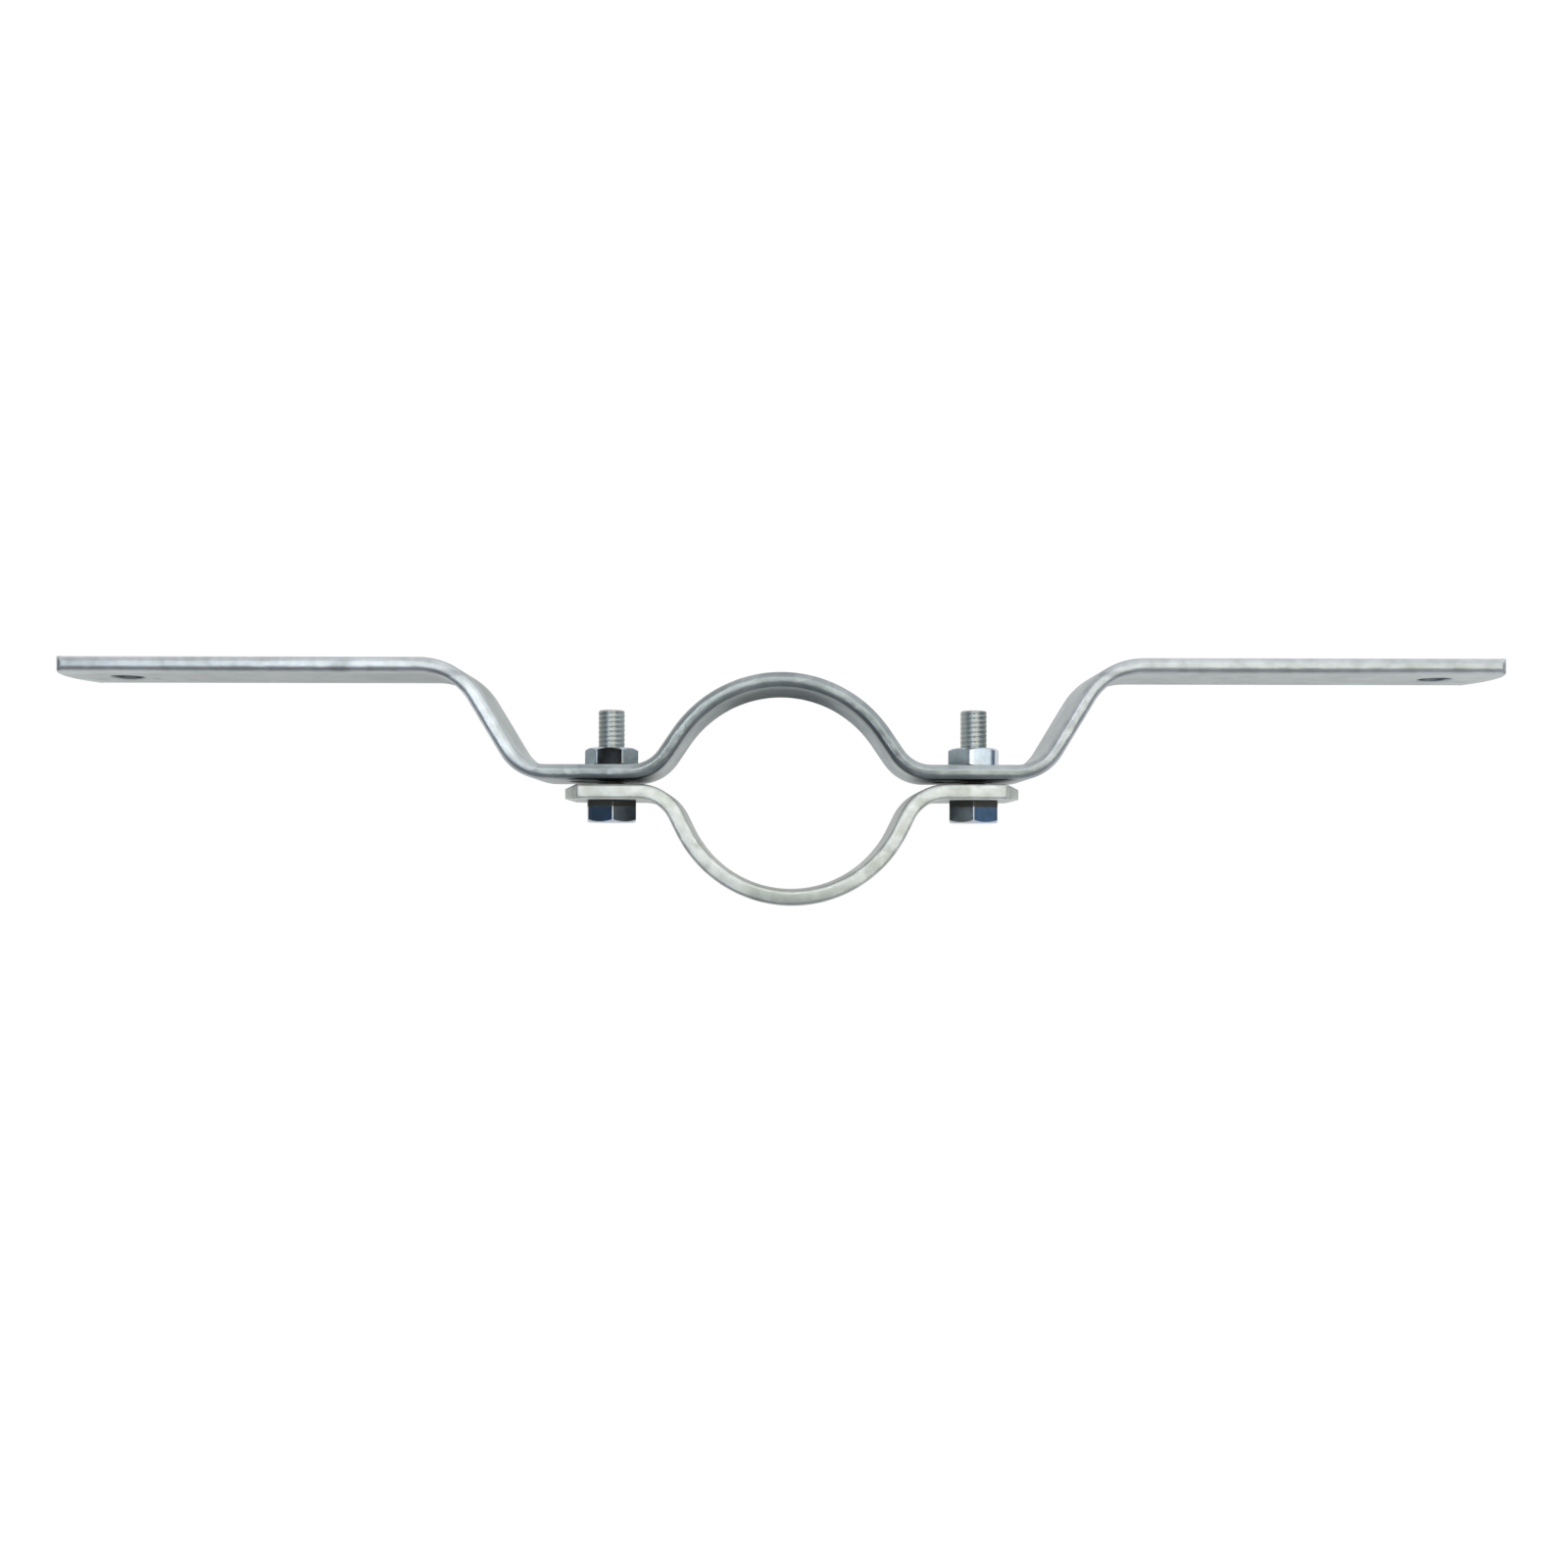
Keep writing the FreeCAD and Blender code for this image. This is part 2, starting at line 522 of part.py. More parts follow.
def check_objects():
    """Stops if any object failed or any piece's solid is missing or not valid."""
    for item in doc.Objects:
        if "Invalid" in item.State or "Error" in item.State:
            raise RuntimeError(f"{item.Label} failed: {item.State}")
    for piece in pieces:
        if piece.Shape.isNull() or not piece.Shape.isValid() or len(piece.Shape.Solids) != 1:
            raise RuntimeError(f"{piece.Label} is not one valid solid")


pieces = [build_sign_strap(), build_clip_strap()]
for side, way in (("left", -1), ("right", 1)):
    pieces.append(build_bolt(side, way))
    pieces.append(build_nut(side, way))
doc.recompute()
check_objects()

os.makedirs("parts", exist_ok=True)
for piece in pieces:
    piece.Shape.exportStep(f"parts/{piece.Label}.step")
    print(f"{piece.Label}: {piece.Shape.Volume:.0f} mm3")
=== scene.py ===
"""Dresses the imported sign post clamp: two bent straps of galvanised flat bar, two bolts and two nuts.

Lengths are in millimetres until a mesh is made, and the axes are the row's: X along the arms, Y from the
post towards the sign, Z up the post.
"""
import logging
import math
from collections.abc import Callable
from dataclasses import dataclass
from enum import Enum
from functools import partial
from typing import ClassVar

import bmesh
import bpy
import numpy as np
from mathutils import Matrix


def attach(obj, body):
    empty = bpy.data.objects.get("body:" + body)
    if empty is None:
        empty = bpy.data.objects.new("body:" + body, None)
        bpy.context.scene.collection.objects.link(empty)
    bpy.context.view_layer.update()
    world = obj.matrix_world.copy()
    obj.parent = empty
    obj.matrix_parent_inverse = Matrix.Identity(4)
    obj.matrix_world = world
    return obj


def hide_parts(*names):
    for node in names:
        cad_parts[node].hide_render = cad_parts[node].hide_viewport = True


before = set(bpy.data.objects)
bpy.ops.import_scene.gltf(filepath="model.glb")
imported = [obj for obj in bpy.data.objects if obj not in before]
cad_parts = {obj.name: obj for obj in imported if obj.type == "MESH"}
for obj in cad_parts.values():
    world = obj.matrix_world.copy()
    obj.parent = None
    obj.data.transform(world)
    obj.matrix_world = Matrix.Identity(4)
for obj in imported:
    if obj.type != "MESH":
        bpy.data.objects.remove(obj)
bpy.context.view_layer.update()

MM = 0.001
WELD = 0.002  # points closer than this are one
BOLT_PLACE = 48.487  # from the middle of a strap, or of the pair of bolts, to a bolt
HOLE_RADIUS = 4.5  # lets an M8 bolt through
HALF_SIDE = math.pi / 6.0  # half the angle that one side of a hexagon takes up
LINES = 8  # points on a corner, and lines from a patch's outline to a rim or a tip
LOG = logging.getLogger("clamp")

Shell = tuple[np.ndarray, np.ndarray]  # points, and four point numbers a face
Source = bpy.types.Node | bpy.types.NodeSocket
Links = dict[str | int, Source]
AddNode = Callable[..., bpy.types.Node]  # add_node, for one tree


class Side(Enum):
    """Which end of the clamp a fastener is at, as a sign along X."""

    LEFT = -1
    RIGHT = 1


class Corner(Enum):
    """How the corners at a strap's ends are made."""

    ROUNDED = "rounded"
    CUT = "cut off at 45 degrees"


# Small tools


def linear(colour: str) -> tuple[float, float, float, float]:
    """Turns an sRGB hex colour into linear light.

    Args:
        colour: the colour as "#rrggbb".

    Returns:
        Red, green, blue and an alpha of 1.
    """
    parts = np.array([int(colour[i : i + 2], 16) for i in (1, 3, 5)]) / 255.0
    light = np.where(parts <= 0.04045, parts / 12.92, ((parts + 0.055) / 1.055) ** 2.4)
    return (float(light[0]), float(light[1]), float(light[2]), 1.0)


def empty_tree(owner: bpy.types.Material | bpy.types.World) -> bpy.types.NodeTree:
    """Turns on the nodes of a material or world.

    Args:
        owner: the material or world.

    Returns:
        Its tree, with nothing in it.
    """
    owner.use_nodes = True
    owner.node_tree.nodes.clear()
    return owner.node_tree


def add_node(
    tree: bpy.types.NodeTree,
    kind: str,
    settings: dict[str | int, object] | None = None,
    links: Links | None = None,
    stops: tuple[tuple[float, str], ...] = (),
) -> bpy.types.Node:
    """Adds one node to a tree.

    Args:
        tree: the tree of a material or of the world.
        kind: the node's type, without the ShaderNode that all types begin with.
        settings: values for its sockets, by name or number, and for its own properties.
        links: what feeds its sockets: another node's socket, or a node for its first one.
        stops: places and colours, for a colour ramp.

    Returns:
        The node.
    """
    node = tree.nodes.new(f"ShaderNode{kind}")
    for key, value in (settings or {}).items():
        if isinstance(key, int) or key in node.inputs:
            node.inputs[key].default_value = value
        else:
            setattr(node, key, value)
    for key, source in (links or {}).items():
        socket = source.outputs[0] if isinstance(source, bpy.types.Node) else source
        tree.links.new(socket, node.inputs[key])
    for i, (place, colour) in enumerate(stops):
        ramp = node.color_ramp.elements
        stop = ramp[i] if i < 2 else ramp.new(place)
        stop.position = place
        stop.color = linear(colour)
    return node


def smooth_step(values: np.ndarray, low: float, high: float) -> np.ndarray:
    """Rises from 0 at low to 1 at high as 3u^2 - 2u^3."""
    share = np.clip((values - low) / (high - low), 0.0, 1.0)
    return share * share * (3.0 - 2.0 * share)


def ripple(along: np.ndarray, seed: int, wavelength: float) -> np.ndarray:
    """A smooth random line between 0 and 1: half plus the mean of seven sines near one wavelength.

    Args:
        along: places on the line.
        seed: the random seed.
        wavelength: the usual distance between two crests.

    Returns:
        One value for each place.
    """
    rng = np.random.default_rng(seed)
    lengths = wavelength * rng.uniform(0.55, 2.2, 7)
    phases = rng.uniform(0.0, 2.0 * math.pi, 7)
    waves = np.sin(2.0 * math.pi * along[..., None] / lengths + phases)
    return np.clip(0.5 + waves.mean(axis=-1), 0.0, 1.0)


def grid_faces(rows: int, columns: int, closed: bool = False) -> np.ndarray:
    """The quads of a grid whose points are numbered row by row.

    Args:
        rows: points from row to row.
        columns: points in a row.
        closed: whether the last row joins the first again.

    Returns:
        Four point numbers a face.
    """
    here = np.arange(rows if closed else rows - 1)[:, None]
    after = (here + 1) % rows
    column = np.arange(columns - 1)[None, :]
    corners = (here * columns + column, here * columns + column + 1,
               after * columns + column + 1, after * columns + column)
    return np.stack(corners, axis=-1).reshape(-1, 4)


def join(parts: list[Shell]) -> Shell:
    """Joins surfaces into one list of points and one of faces."""
    counts = np.cumsum([0] + [len(points) for points, _ in parts])
    return (np.concatenate([points for points, _ in parts]),
            np.concatenate([faces + count for (_, faces), count in zip(parts, counts)]))


def add_object(name: str, data: bpy.types.ID) -> bpy.types.Object:
    """Puts an object into the scene, at the origin.

    Args:
        name: its name.
        data: its mesh or camera.

    Returns:
        The object.
    """
    made = bpy.data.objects.new(name, data)
    bpy.context.scene.collection.objects.link(made)
    return made


def make_piece(name: str, shell: Shell, crease: float | None = None) -> bpy.types.Object:
    """Puts a surface into a mesh, welds its seams and poles and turns its faces outwards.

    Args:
        name: the piece's name.
        shell: its surface, in the row frame.
        crease: edges bent by more than this many degrees stay sharp, or None for none.

    Returns:
        The piece, at the origin.
    """
    points, faces = shell
    mesh = bpy.data.meshes.new(name)
    mesh.from_pydata((points * MM).tolist(), [], faces.tolist())
    work = bmesh.new()
    work.from_mesh(mesh)
    bmesh.ops.remove_doubles(work, verts=work.verts, dist=WELD * MM)
    bmesh.ops.recalc_face_normals(work, faces=work.faces)
    work.to_mesh(mesh)
    work.free()
    mesh.polygons.foreach_set("use_smooth", np.ones(len(mesh.polygons), bool))
    if crease is not None:
        mesh.set_sharp_from_angle(angle=math.radians(crease))
    mesh.update()
    return add_object(name, mesh)


def dress_piece(piece: bpy.types.Object, node: str, material: bpy.types.Material) -> None:
    """Lets a piece stand for its CAD node, gives it its finish and reports it.

    Args:
        piece: the piece.
        node: the CAD node.
        material: its finish.
    """
    piece.data.materials.append(material)
    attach(piece, "root")
    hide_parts(node)
    piece.data.calc_loop_triangles()
    LOG.info("%s: %d triangles, for %s", piece.name, len(piece.data.loop_triangles), node)


# Finishes


@dataclass(frozen=True)
class Finish:
    """A metal finish, whose patterns are set on Object coordinates.

    Attributes:
        name: the material's name.
    """

    name: str

    def look(self, add: AddNode, place: Source) -> Links:
        """Builds the finish's patterns.

        Args:
            add: adds a node to the material's tree.
            place: the Object coordinates.

        Returns:
            What feeds the metal's Base Color, Roughness and Normal.
        """
        raise NotImplementedError

    def material(self) -> bpy.types.Material:
        """Builds the material.

        Returns:
            A metal with the finish's patterns.
        """
        made = bpy.data.materials.new(self.name)
        add = partial(add_node, empty_tree(made))
        look = self.look(add, add("TexCoord").outputs["Object"])
        add("OutputMaterial", links={"Surface": add("BsdfPrincipled", {"Metallic": 1.0}, look)})
        return made


@dataclass(frozen=True)
class PaintedLightAndStain:
    """A soft patch of another tone: mostly painted shade and painted light where the light falls unevenly,
    and a few real spots of dirt.

    Attributes:
        place: its middle.
        size: half its length along each axis.
        tone: what the colour is multiplied by in its middle, over 1 where it is paler.
        core: how much of it is full, as a share of its size.
    """

    place: tuple[float, float, float]
    size: tuple[float, float, float]
    tone: float
    core: float = 0.3


@dataclass(frozen=True)
class GalvanisedSteel(Finish):
    """Hot-dip galvanised flat bar: satin zinc, faintly spangled, with paler, frosted and lumpy edges.

    Attributes:
        light: the palest zinc crystals.
        middle: the usual ones.
        dark: the dullest ones.
        edge_light: the frosted zinc on the edges.
        edge_dark: the duller spots in it.
        spangle: the size of a crystal.
        cloud: the size of the clouds over them.
        lump: the length of a lump on the edges.
        lump_height: the height of a lump.
        grain: the size of the finest grain, coarser than the real one so that it shows.
        grain_height: the height of the grain.
        satin: the roughness of the faces, from cloud to cloud.
        frosting: how much of the frosted zinc shows.
        frost_roughness: how rough it is.
        frost_edge: how far from the bar's middle line it starts, and where it is full.
        centre: where the strap's middle is along X.
        frost_from: how far from there along X it starts, and where it is full.
        painted_light_and_stains: the patches of another tone, mostly painted shade and painted light, and a
            few real spots of dirt.
    """

    light: str = "#C2C9C9"
    middle: str = "#B0B8B8"
    dark: str = "#9BA3A4"
    edge_light: str = "#E6EAE8"
    edge_dark: str = "#CFD1C6"
    spangle: float = 3.2
    cloud: float = 16.0
    lump: float = 3.4
    lump_height: float = 0.12
    grain: float = 0.45
    grain_height: float = 0.02
    satin: tuple[float, float] = (0.27, 0.4)
    frosting: float = 0.9
    frost_roughness: float = 0.56
    frost_edge: tuple[float, float] = (13.7, 14.6)
    centre: float = 0.0
    frost_from: tuple[float, float] = (0.0, 1.0)
    painted_light_and_stains: tuple[PaintedLightAndStain, ...] = ()

    def look(self, add: AddNode, place: Source) -> Links:
        """Builds the zinc's patterns.

        Args:
            add: adds a node to the material's tree.
            place: the Object coordinates.

        Returns:
            What feeds the metal's Base Color, Roughness and Normal.
        """
        axes = add("SeparateXYZ", links={"Vector": place}).outputs
        clouds, grain, lumps = (
            add("TexNoise", {"Scale": 1 / (size * MM), "Detail": detail}, {"Vector": place})
            for size, detail in ((self.cloud, 3.0), (self.grain, 2.0), (self.lump, 1.5)))

        # One grey for each zinc crystal, clouded over a centimetre or two.
        crystals = add("TexVoronoi", {"Scale": 1 / (self.spangle * MM)}, {"Vector": place})
        crystal = add("SeparateColor", links={"Color": crystals.outputs["Color"]})
        mottle = add("Math", {"operation": "MULTIPLY_ADD", 1: 0.2}, {0: crystal, 2: clouds})
        grey = add("ValToRGB", links={"Fac": mottle},
                   stops=((0.38, self.dark), (0.62, self.middle), (0.9, self.light)))

        # The edges hold more zinc: paler, in lumps a few millimetres long with duller spots between them.
        height = add("Math", {"operation": "ABSOLUTE"}, {0: axes["Z"]})
        beside = add("Math", {"operation": "SUBTRACT", 1: self.centre * MM}, {0: axes["X"]})
        out = add("Math", {"operation": "ABSOLUTE"}, {0: beside})
        edge, reach = (
            add("MapRange", {"interpolation_type": "SMOOTHSTEP", "From Min": low * MM,
                             "From Max": high * MM}, {"Value": way})
            for (low, high), way in ((self.frost_edge, height), (self.frost_from, out)))
        frost = add("ValToRGB", links={"Fac": lumps}, stops=((0.3, self.edge_dark), (0.62, self.edge_light)))
        share = add("Math", {"operation": "MULTIPLY"}, {0: edge, 1: reach})
        strength = add("Math", {"operation": "MULTIPLY", 1: self.frosting}, {0: share})
        colour = add("Mix", {"data_type": "RGBA"}, {0: strength, 6: grey, 7: frost}).outputs[2]
        satin = add("MapRange", {"To Min": self.satin[0], "To Max": self.satin[1]}, {"Value": clouds})
        rough = add("MapRange", {"To Max": self.frost_roughness}, {"Value": strength, "To Min": satin})

        # Painted light and shade, and a few real spots of dirt: each patch multiplies the tone inside its
        # ellipsoid.
        tone = add("Math", {"operation": "MULTIPLY", 0: 1.0, 1: 1.0})
        for light_or_stain in self.painted_light_and_stains:
            inside = add("Mapping", {
                "Location": tuple(-middle / size for middle, size in zip(light_or_stain.place, light_or_stain.size)),
                "Scale": tuple(1.0 / (size * MM) for size in light_or_stain.size)}, {"Vector": place})
            off = add("VectorMath", {"operation": "LENGTH"}, {0: inside}).outputs["Value"]
            patch = add("MapRange", {"interpolation_type": "SMOOTHSTEP", "From Min": light_or_stain.core,
                                     "To Min": light_or_stain.tone}, {"Value": off})
            tone = add("Math", {"operation": "MULTIPLY"}, {0: tone, 1: patch})
        shaded = add("VectorMath", {"operation": "SCALE"}, {0: colour, "Scale": tone})

        # The lumps stand out of the edges, and a fine grain softens every highlight.
        waves = add("Bump", {"Strength": 1.0, "Distance": self.lump_height * MM}, {"Height": lumps})
        relief = add("Bump", {"Strength": 0.6, "Distance": self.grain_height * MM},
                     {"Height": grain, "Normal": waves})
        return {"Base Color": shaded, "Roughness": rough, "Normal": relief}


@dataclass(frozen=True)
class BrightZinc(Finish):
    """Electroplated zinc on bolts and nuts: a thin bright bluish plate that mirrors its surroundings softly.

    Attributes:
        plate: the clean plate.
        tarnish: the duller patches on it.
        patch: the size of a patch.
        grain: the size of the finest grain, coarser than the real one so that it shows.
        grain_height: the height of the grain.
        mirror: the roughness of the faces, from patch to patch.
        thread: the colour of the thread.
        thread_rough: how rough it is.
        thread_from: the height past the nut where it starts, and where it is full.
        strap_shade: the oil and dust by the straps.
        strap_shade_heights: the heights that they lie between.
        strap_shade_fade: how far they fade to each side of those heights.
        strap_shade_cover: how much of the plate they cover.
        strap_shade_rough: how rough they are.
        forging: the height of the waves on the head's sides.
        forged: the height where the waves start, and where they are full.
    """

    plate: str = "#C4D0DA"
    tarnish: str = "#B8BCBC"
    patch: float = 4.0
    grain: float = 0.35
    grain_height: float = 0.006
    mirror: tuple[float, float] = (0.05, 0.14)
    thread: str = "#BCC1BE"
    thread_rough: float = 0.38
    thread_from: tuple[float, float] = (15.2, 15.5)
    # strap_shade: the painted shade and painted reflection of the straps' dark undersides, next to the
    # strap. strap_shade_heights: the heights that it lies between. strap_shade_fade: how far it fades to
    # each side of those heights. strap_shade_cover: how much of the plate it covers. strap_shade_rough: how
    # rough it is.
    strap_shade: str = "#5E5847"
    strap_shade_heights: tuple[float, float] = (-0.5, 10.0)
    strap_shade_fade: float = 0.2
    strap_shade_cover: float = 0.85
    strap_shade_rough: float = 0.5
    forging: float = 0.06
    forged: tuple[float, float] = (2.0, 1.0)

    def look(self, add: AddNode, place: Source) -> Links:
        """Builds the plate's patterns.

        Args:
            add: adds a node to the material's tree.
            place: the Object coordinates.

        Returns:
            What feeds the metal's Base Color, Roughness and Normal.
        """
        height = add("SeparateXYZ", links={"Vector": place}).outputs["Y"]
        patches, grain = (
            add("TexNoise", {"Scale": 1 / (size * MM), "Detail": detail}, {"Vector": place})
            for size, detail in ((self.patch, 3.0), (self.grain, 2.0)))
        plate = add("ValToRGB", links={"Fac": patches}, stops=((0.35, self.tarnish), (0.6, self.plate)))
        mirror = add("MapRange", {"To Min": self.mirror[0], "To Max": self.mirror[1]}, {"Value": patches})

        # Past the nut only the thread shows, which is duller than the faces.
        start, full = self.thread_from
        past = add("MapRange", {"From Min": start * MM, "From Max": full * MM}, {"Value": height})
        rough = add("MapRange", {"To Max": self.thread_rough}, {"Value": past, "To Min": mirror})
        plated = add("Mix", {"data_type": "RGBA", 7: linear(self.thread)}, {0: past, 6: plate}).outputs[2]

        # Painted shade and painted reflection of the straps: a dark olive band on the head's sides next to
        # the strap, and on the shank between the straps.
        middle, half = sum(self.strap_shade_heights) / 2.0, (self.strap_shade_heights[1] - self.strap_shade_heights[0]) / 2.0
        off = add("Math", {"operation": "SUBTRACT", 1: middle * MM}, {0: height})
        far = add("Math", {"operation": "ABSOLUTE"}, {0: off})
        cover = add("MapRange", {
            "From Min": (half + self.strap_shade_fade) * MM, "From Max": (half - self.strap_shade_fade) * MM,
            "To Max": self.strap_shade_cover}, {"Value": far})
        dulled = add("MapRange", {"From Max": self.strap_shade_cover, "To Max": self.strap_shade_rough},
                     {"Value": cover, "To Min": rough})
        colour = add("Mix", {"data_type": "RGBA", 7: linear(self.strap_shade)}, {0: cover, 6: plated}).outputs[2]

        # Forging leaves the head's sides a little wavy. The nut's are plain.
        start, full = self.forged
        swell = add("MapRange", {"From Min": start * MM, "From Max": full * MM, "To Max": self.forging * MM},
                    {"Value": height})
        waves = add("Bump", {"Strength": 1.0}, {"Height": patches, "Distance": swell})
        relief = add("Bump", {"Strength": 0.4, "Distance": self.grain_height * MM},
                     {"Height": grain, "Normal": waves})
        return {"Base Color": colour, "Roughness": dulled, "Normal": relief}


# Pieces


@dataclass(frozen=True)
class Piece:
    """What all pieces share: a closed surface that stands for a CAD node.

    Attributes:
        node: the CAD node.
        metal: the metal, as the piece's name ends.
        slot: the record's material slot.
        crease: edges bent by more than this many degrees stay sharp, or None for none.
    """

    metal: ClassVar[str]
    slot: ClassVar[str]
    crease: ClassVar[float | None] = None

    node: str

    def shell(self) -> Shell:
        """The piece's surface, in the row frame."""
        raise NotImplementedError

    def build(self, finish: Finish) -> None:
        """Builds the piece and dresses it in its finish."""
        piece = make_piece(f"{self.node}_{self.metal}", self.shell(), self.crease)
        dress_piece(piece, self.node, finish.material())


# Straps


@dataclass(frozen=True)
class Hole:
    """A hole or slot through a strap.

    Attributes:
        place: how far it is from the strap's middle, along the bar.
        radius: its radius, and half a slot's width.
        travel: half the straight part of a slot, or 0.
        block: half the length of bar that its patch takes.
    """

    place: float
    radius: float
    travel: float
    block: float


@dataclass(frozen=True)
class CentreLine:
    """The line through the middle of a bent bar's thickness, the same left and right of its crown.

    Attributes:
        crown: the height of its middle.
        runs: from the middle out, each run's length and the angle that it turns through, in radians.
    """

    crown: float
    runs: tuple[tuple[float, float], ...]

    def heading(self, along: np.ndarray) -> np.ndarray:
        """The line's direction: each run's first heading plus its curvature times the way into it.

        Args:
            along: places on the bar from its middle, negative to the left.

        Returns:
            Angles from the X axis.
        """
        ends, turns = (np.concatenate(([0.0], np.cumsum(values))) for values in zip(*self.runs))
        return np.sign(along) * np.interp(np.abs(along), ends, turns)

    def curvature(self, along: np.ndarray, reach: float = 2.5) -> np.ndarray:
        """How fast the heading changes, taken over a short reach so that a bend begins softly."""
        return (self.heading(along + reach) - self.heading(along - reach)) / (2.0 * reach)

    def points(self, along: np.ndarray, out: np.ndarray) -> np.ndarray:
        """Points beside the line. Into a run that starts at P with heading h and curvature k, the chord to
        distance u has the length u sin(ku/2)/(ku/2) and the heading h + ku/2. The point lies out from
        its end, square to the line.

        Args:
            along: places on the bar from its middle, negative to the left.
            out: how far each point is from the line, to its left.

        Returns:
            One x and y for each place.
        """
        lengths, turns = np.array(self.runs).T
        chords = lengths * np.sinc(turns / (2.0 * math.pi))
        headings = np.concatenate(([0.0], np.cumsum(turns)[:-1]))
        middles = headings + turns / 2.0
        starts, xs, ys = (np.concatenate(([0.0], np.cumsum(values)[:-1]))
                          for values in (lengths, chords * np.cos(middles), chords * np.sin(middles)))
        far = np.abs(along)
        run = np.clip(np.searchsorted(starts, far, side="right") - 1, 0, len(starts) - 1)
        into = far - starts[run]
        turn = turns[run] / lengths[run] * into
        chord = into * np.sinc(turn / (2.0 * math.pi))
        x = xs[run] + chord * np.cos(headings[run] + turn / 2.0)
        y = self.crown + ys[run] + chord * np.sin(headings[run] + turn / 2.0)
        heading = headings[run] + turn
        flip = np.where(along < 0.0, -1.0, 1.0)
        return np.stack((flip * (x - out * np.sin(heading)), y + out * np.cos(heading)), axis=-1)


@dataclass(frozen=True)
class Blank:
    """The flat bar before it is bent, cut to shape and with rolled edges.

    Attributes:
        half_length: from its middle to its tip.
        end_radius: the radius of its bowed ends.
        corner: the radius at its four corners, or how much of them is cut off.
        holes: the holes to the right of its middle. Each has its twin to the left.
        shape: how its corners are made.
        width: the bar's width.
        thickness: the bar's thickness.
        arris: the radius of its rolled edges.
        tip_arris: the radius of its sheared ends' edges.
        rim: the radius on the rims of its holes.
        cut_arc: the radius left at both ends of a cut corner's slope.
        step: the usual distance between two columns of points.
        bow: how many points its bowed ends have.
        quarter: how many points the rounding of an edge has.
        guards: how far before and after a rounding its flats have one more line.
        crowding: how evenly the lines round a hole lie, less than 1 for closer ones at its rim.
    """

    half_length: float
    end_radius: float
    corner: float
    holes: tuple[Hole, ...]
    shape: Corner = Corner.ROUNDED
    width: float = 30.0
    thickness: float = 4.0
    arris: float = 1.45
    tip_arris: float = 0.3
    rim: float = 0.45
    cut_arc: float = 0.06
    step: float = 0.8
    bow: int = 9
    quarter: int = 7
    guards: tuple[float, float] = (0.04, 0.08)
    crowding: float = 0.8

    def corner_line(self) -> tuple[np.ndarray, np.ndarray, np.ndarray]:
        """The upper right corner, moved in by the rolled edge, as arcs about their centres. A rounded corner
        is one arc of radius corner - arris. A cut corner is two tiny arcs, whose centres are arris +
        cut_arc inside its edges and so (arris + cut_arc) (sqrt(2) - 1) nearer the middle than the
        outline's bends.

        Returns:
            The angle of each point, the centre of its arc and that arc's radius.
        """
        square, diagonal = math.pi / 2.0, math.pi / 4.0
        if self.shape is Corner.ROUNDED:
            rise = self.width / 2.0 - self.corner
            reach = self.end_radius - self.corner
            meet = math.asin(rise / reach)
            centre = (self.half_length - self.end_radius + reach * math.cos(meet), rise)
            return (np.linspace(square, meet, LINES), np.tile(centre, (LINES, 1)),
                    np.full(LINES, self.corner - self.arris))
        inset = self.arris + self.cut_arc
        along, across = self.half_length - inset, self.width / 2.0 - inset
        back = self.corner + inset * (math.sqrt(2.0) - 2.0)
        meet = math.asin((across - back) / (self.end_radius - inset))
        half = LINES // 2
        angles = np.concatenate((np.linspace(square, diagonal, half), np.linspace(diagonal, meet, half)))
        centres = np.repeat(((along - back, across), (along, across - back)), half, axis=0)
        return angles, centres, np.full(LINES, self.cut_arc)

    def end_line(self) -> tuple[np.ndarray, np.ndarray]:
        """The right end's outline, moved in by the rolled edge, from its lower long edge to its upper one.
        Its bow is an arc of radius end_radius - arris.

        Returns:
            The points (along, across), and the direction outwards at each.
        """
        turned, centres, radii = self.corner_line()
        sweep = np.sin(turned[-1])
        bowed = np.arcsin(np.linspace(-sweep, sweep, self.bow + 2))[1:-1]
        angles = np.concatenate((-turned, bowed, turned[::-1]))
        outward = np.stack((np.cos(angles), np.sin(angles)), axis=-1)
        middle = np.tile((self.half_length - self.end_radius, 0.0), (self.bow, 1))
        centre = np.concatenate((centres * (1.0, -1.0), middle, centres[::-1]))
        radius = np.concatenate((radii, np.full(self.bow, self.end_radius - self.arris), radii[::-1]))
        return centre + radius[:, None] * outward, outward

    def band(self, inner: np.ndarray, outward: np.ndarray, inset: float, radius: np.ndarray) -> np.ndarray:
        """Carries the edge's section round a closed line: the face, a quarter turn, the flat, and the same
        back. At the angle a the section is inset - radius (1 - sin(a)) out and radius (1 - cos(a)) down.

        Args:
            inner: the line on the face, as (along, across).
            outward: the direction out of the metal at each of its points.
            inset: how far the line is from the outline.
            radius: the rounding's radius at each of its points.

        Returns:
            Points as (line, section, (along, across, up)).
        """
        angles = np.linspace(0.0, math.pi / 2.0, self.quarter)
        half = self.thickness / 2.0
        radius = radius[:, None]
        before = np.maximum(inset - radius - self.guards[0], 0.0)
        turn_out = np.hstack((np.zeros_like(radius), before, inset - radius * (1.0 - np.sin(angles))))
        turn_up = np.hstack((np.full((len(radius), 2), half), half - radius * (1.0 - np.cos(angles))))
        flat = half - radius - self.guards[1]
        out = np.hstack((turn_out, np.full((len(radius), 3), inset), turn_out[:, ::-1]))
        up = np.hstack((turn_up, flat, np.zeros_like(flat), -flat, -turn_up[:, ::-1]))
        return np.dstack((inner[:, None, :] + out[:, :, None] * outward[:, None, :], up))

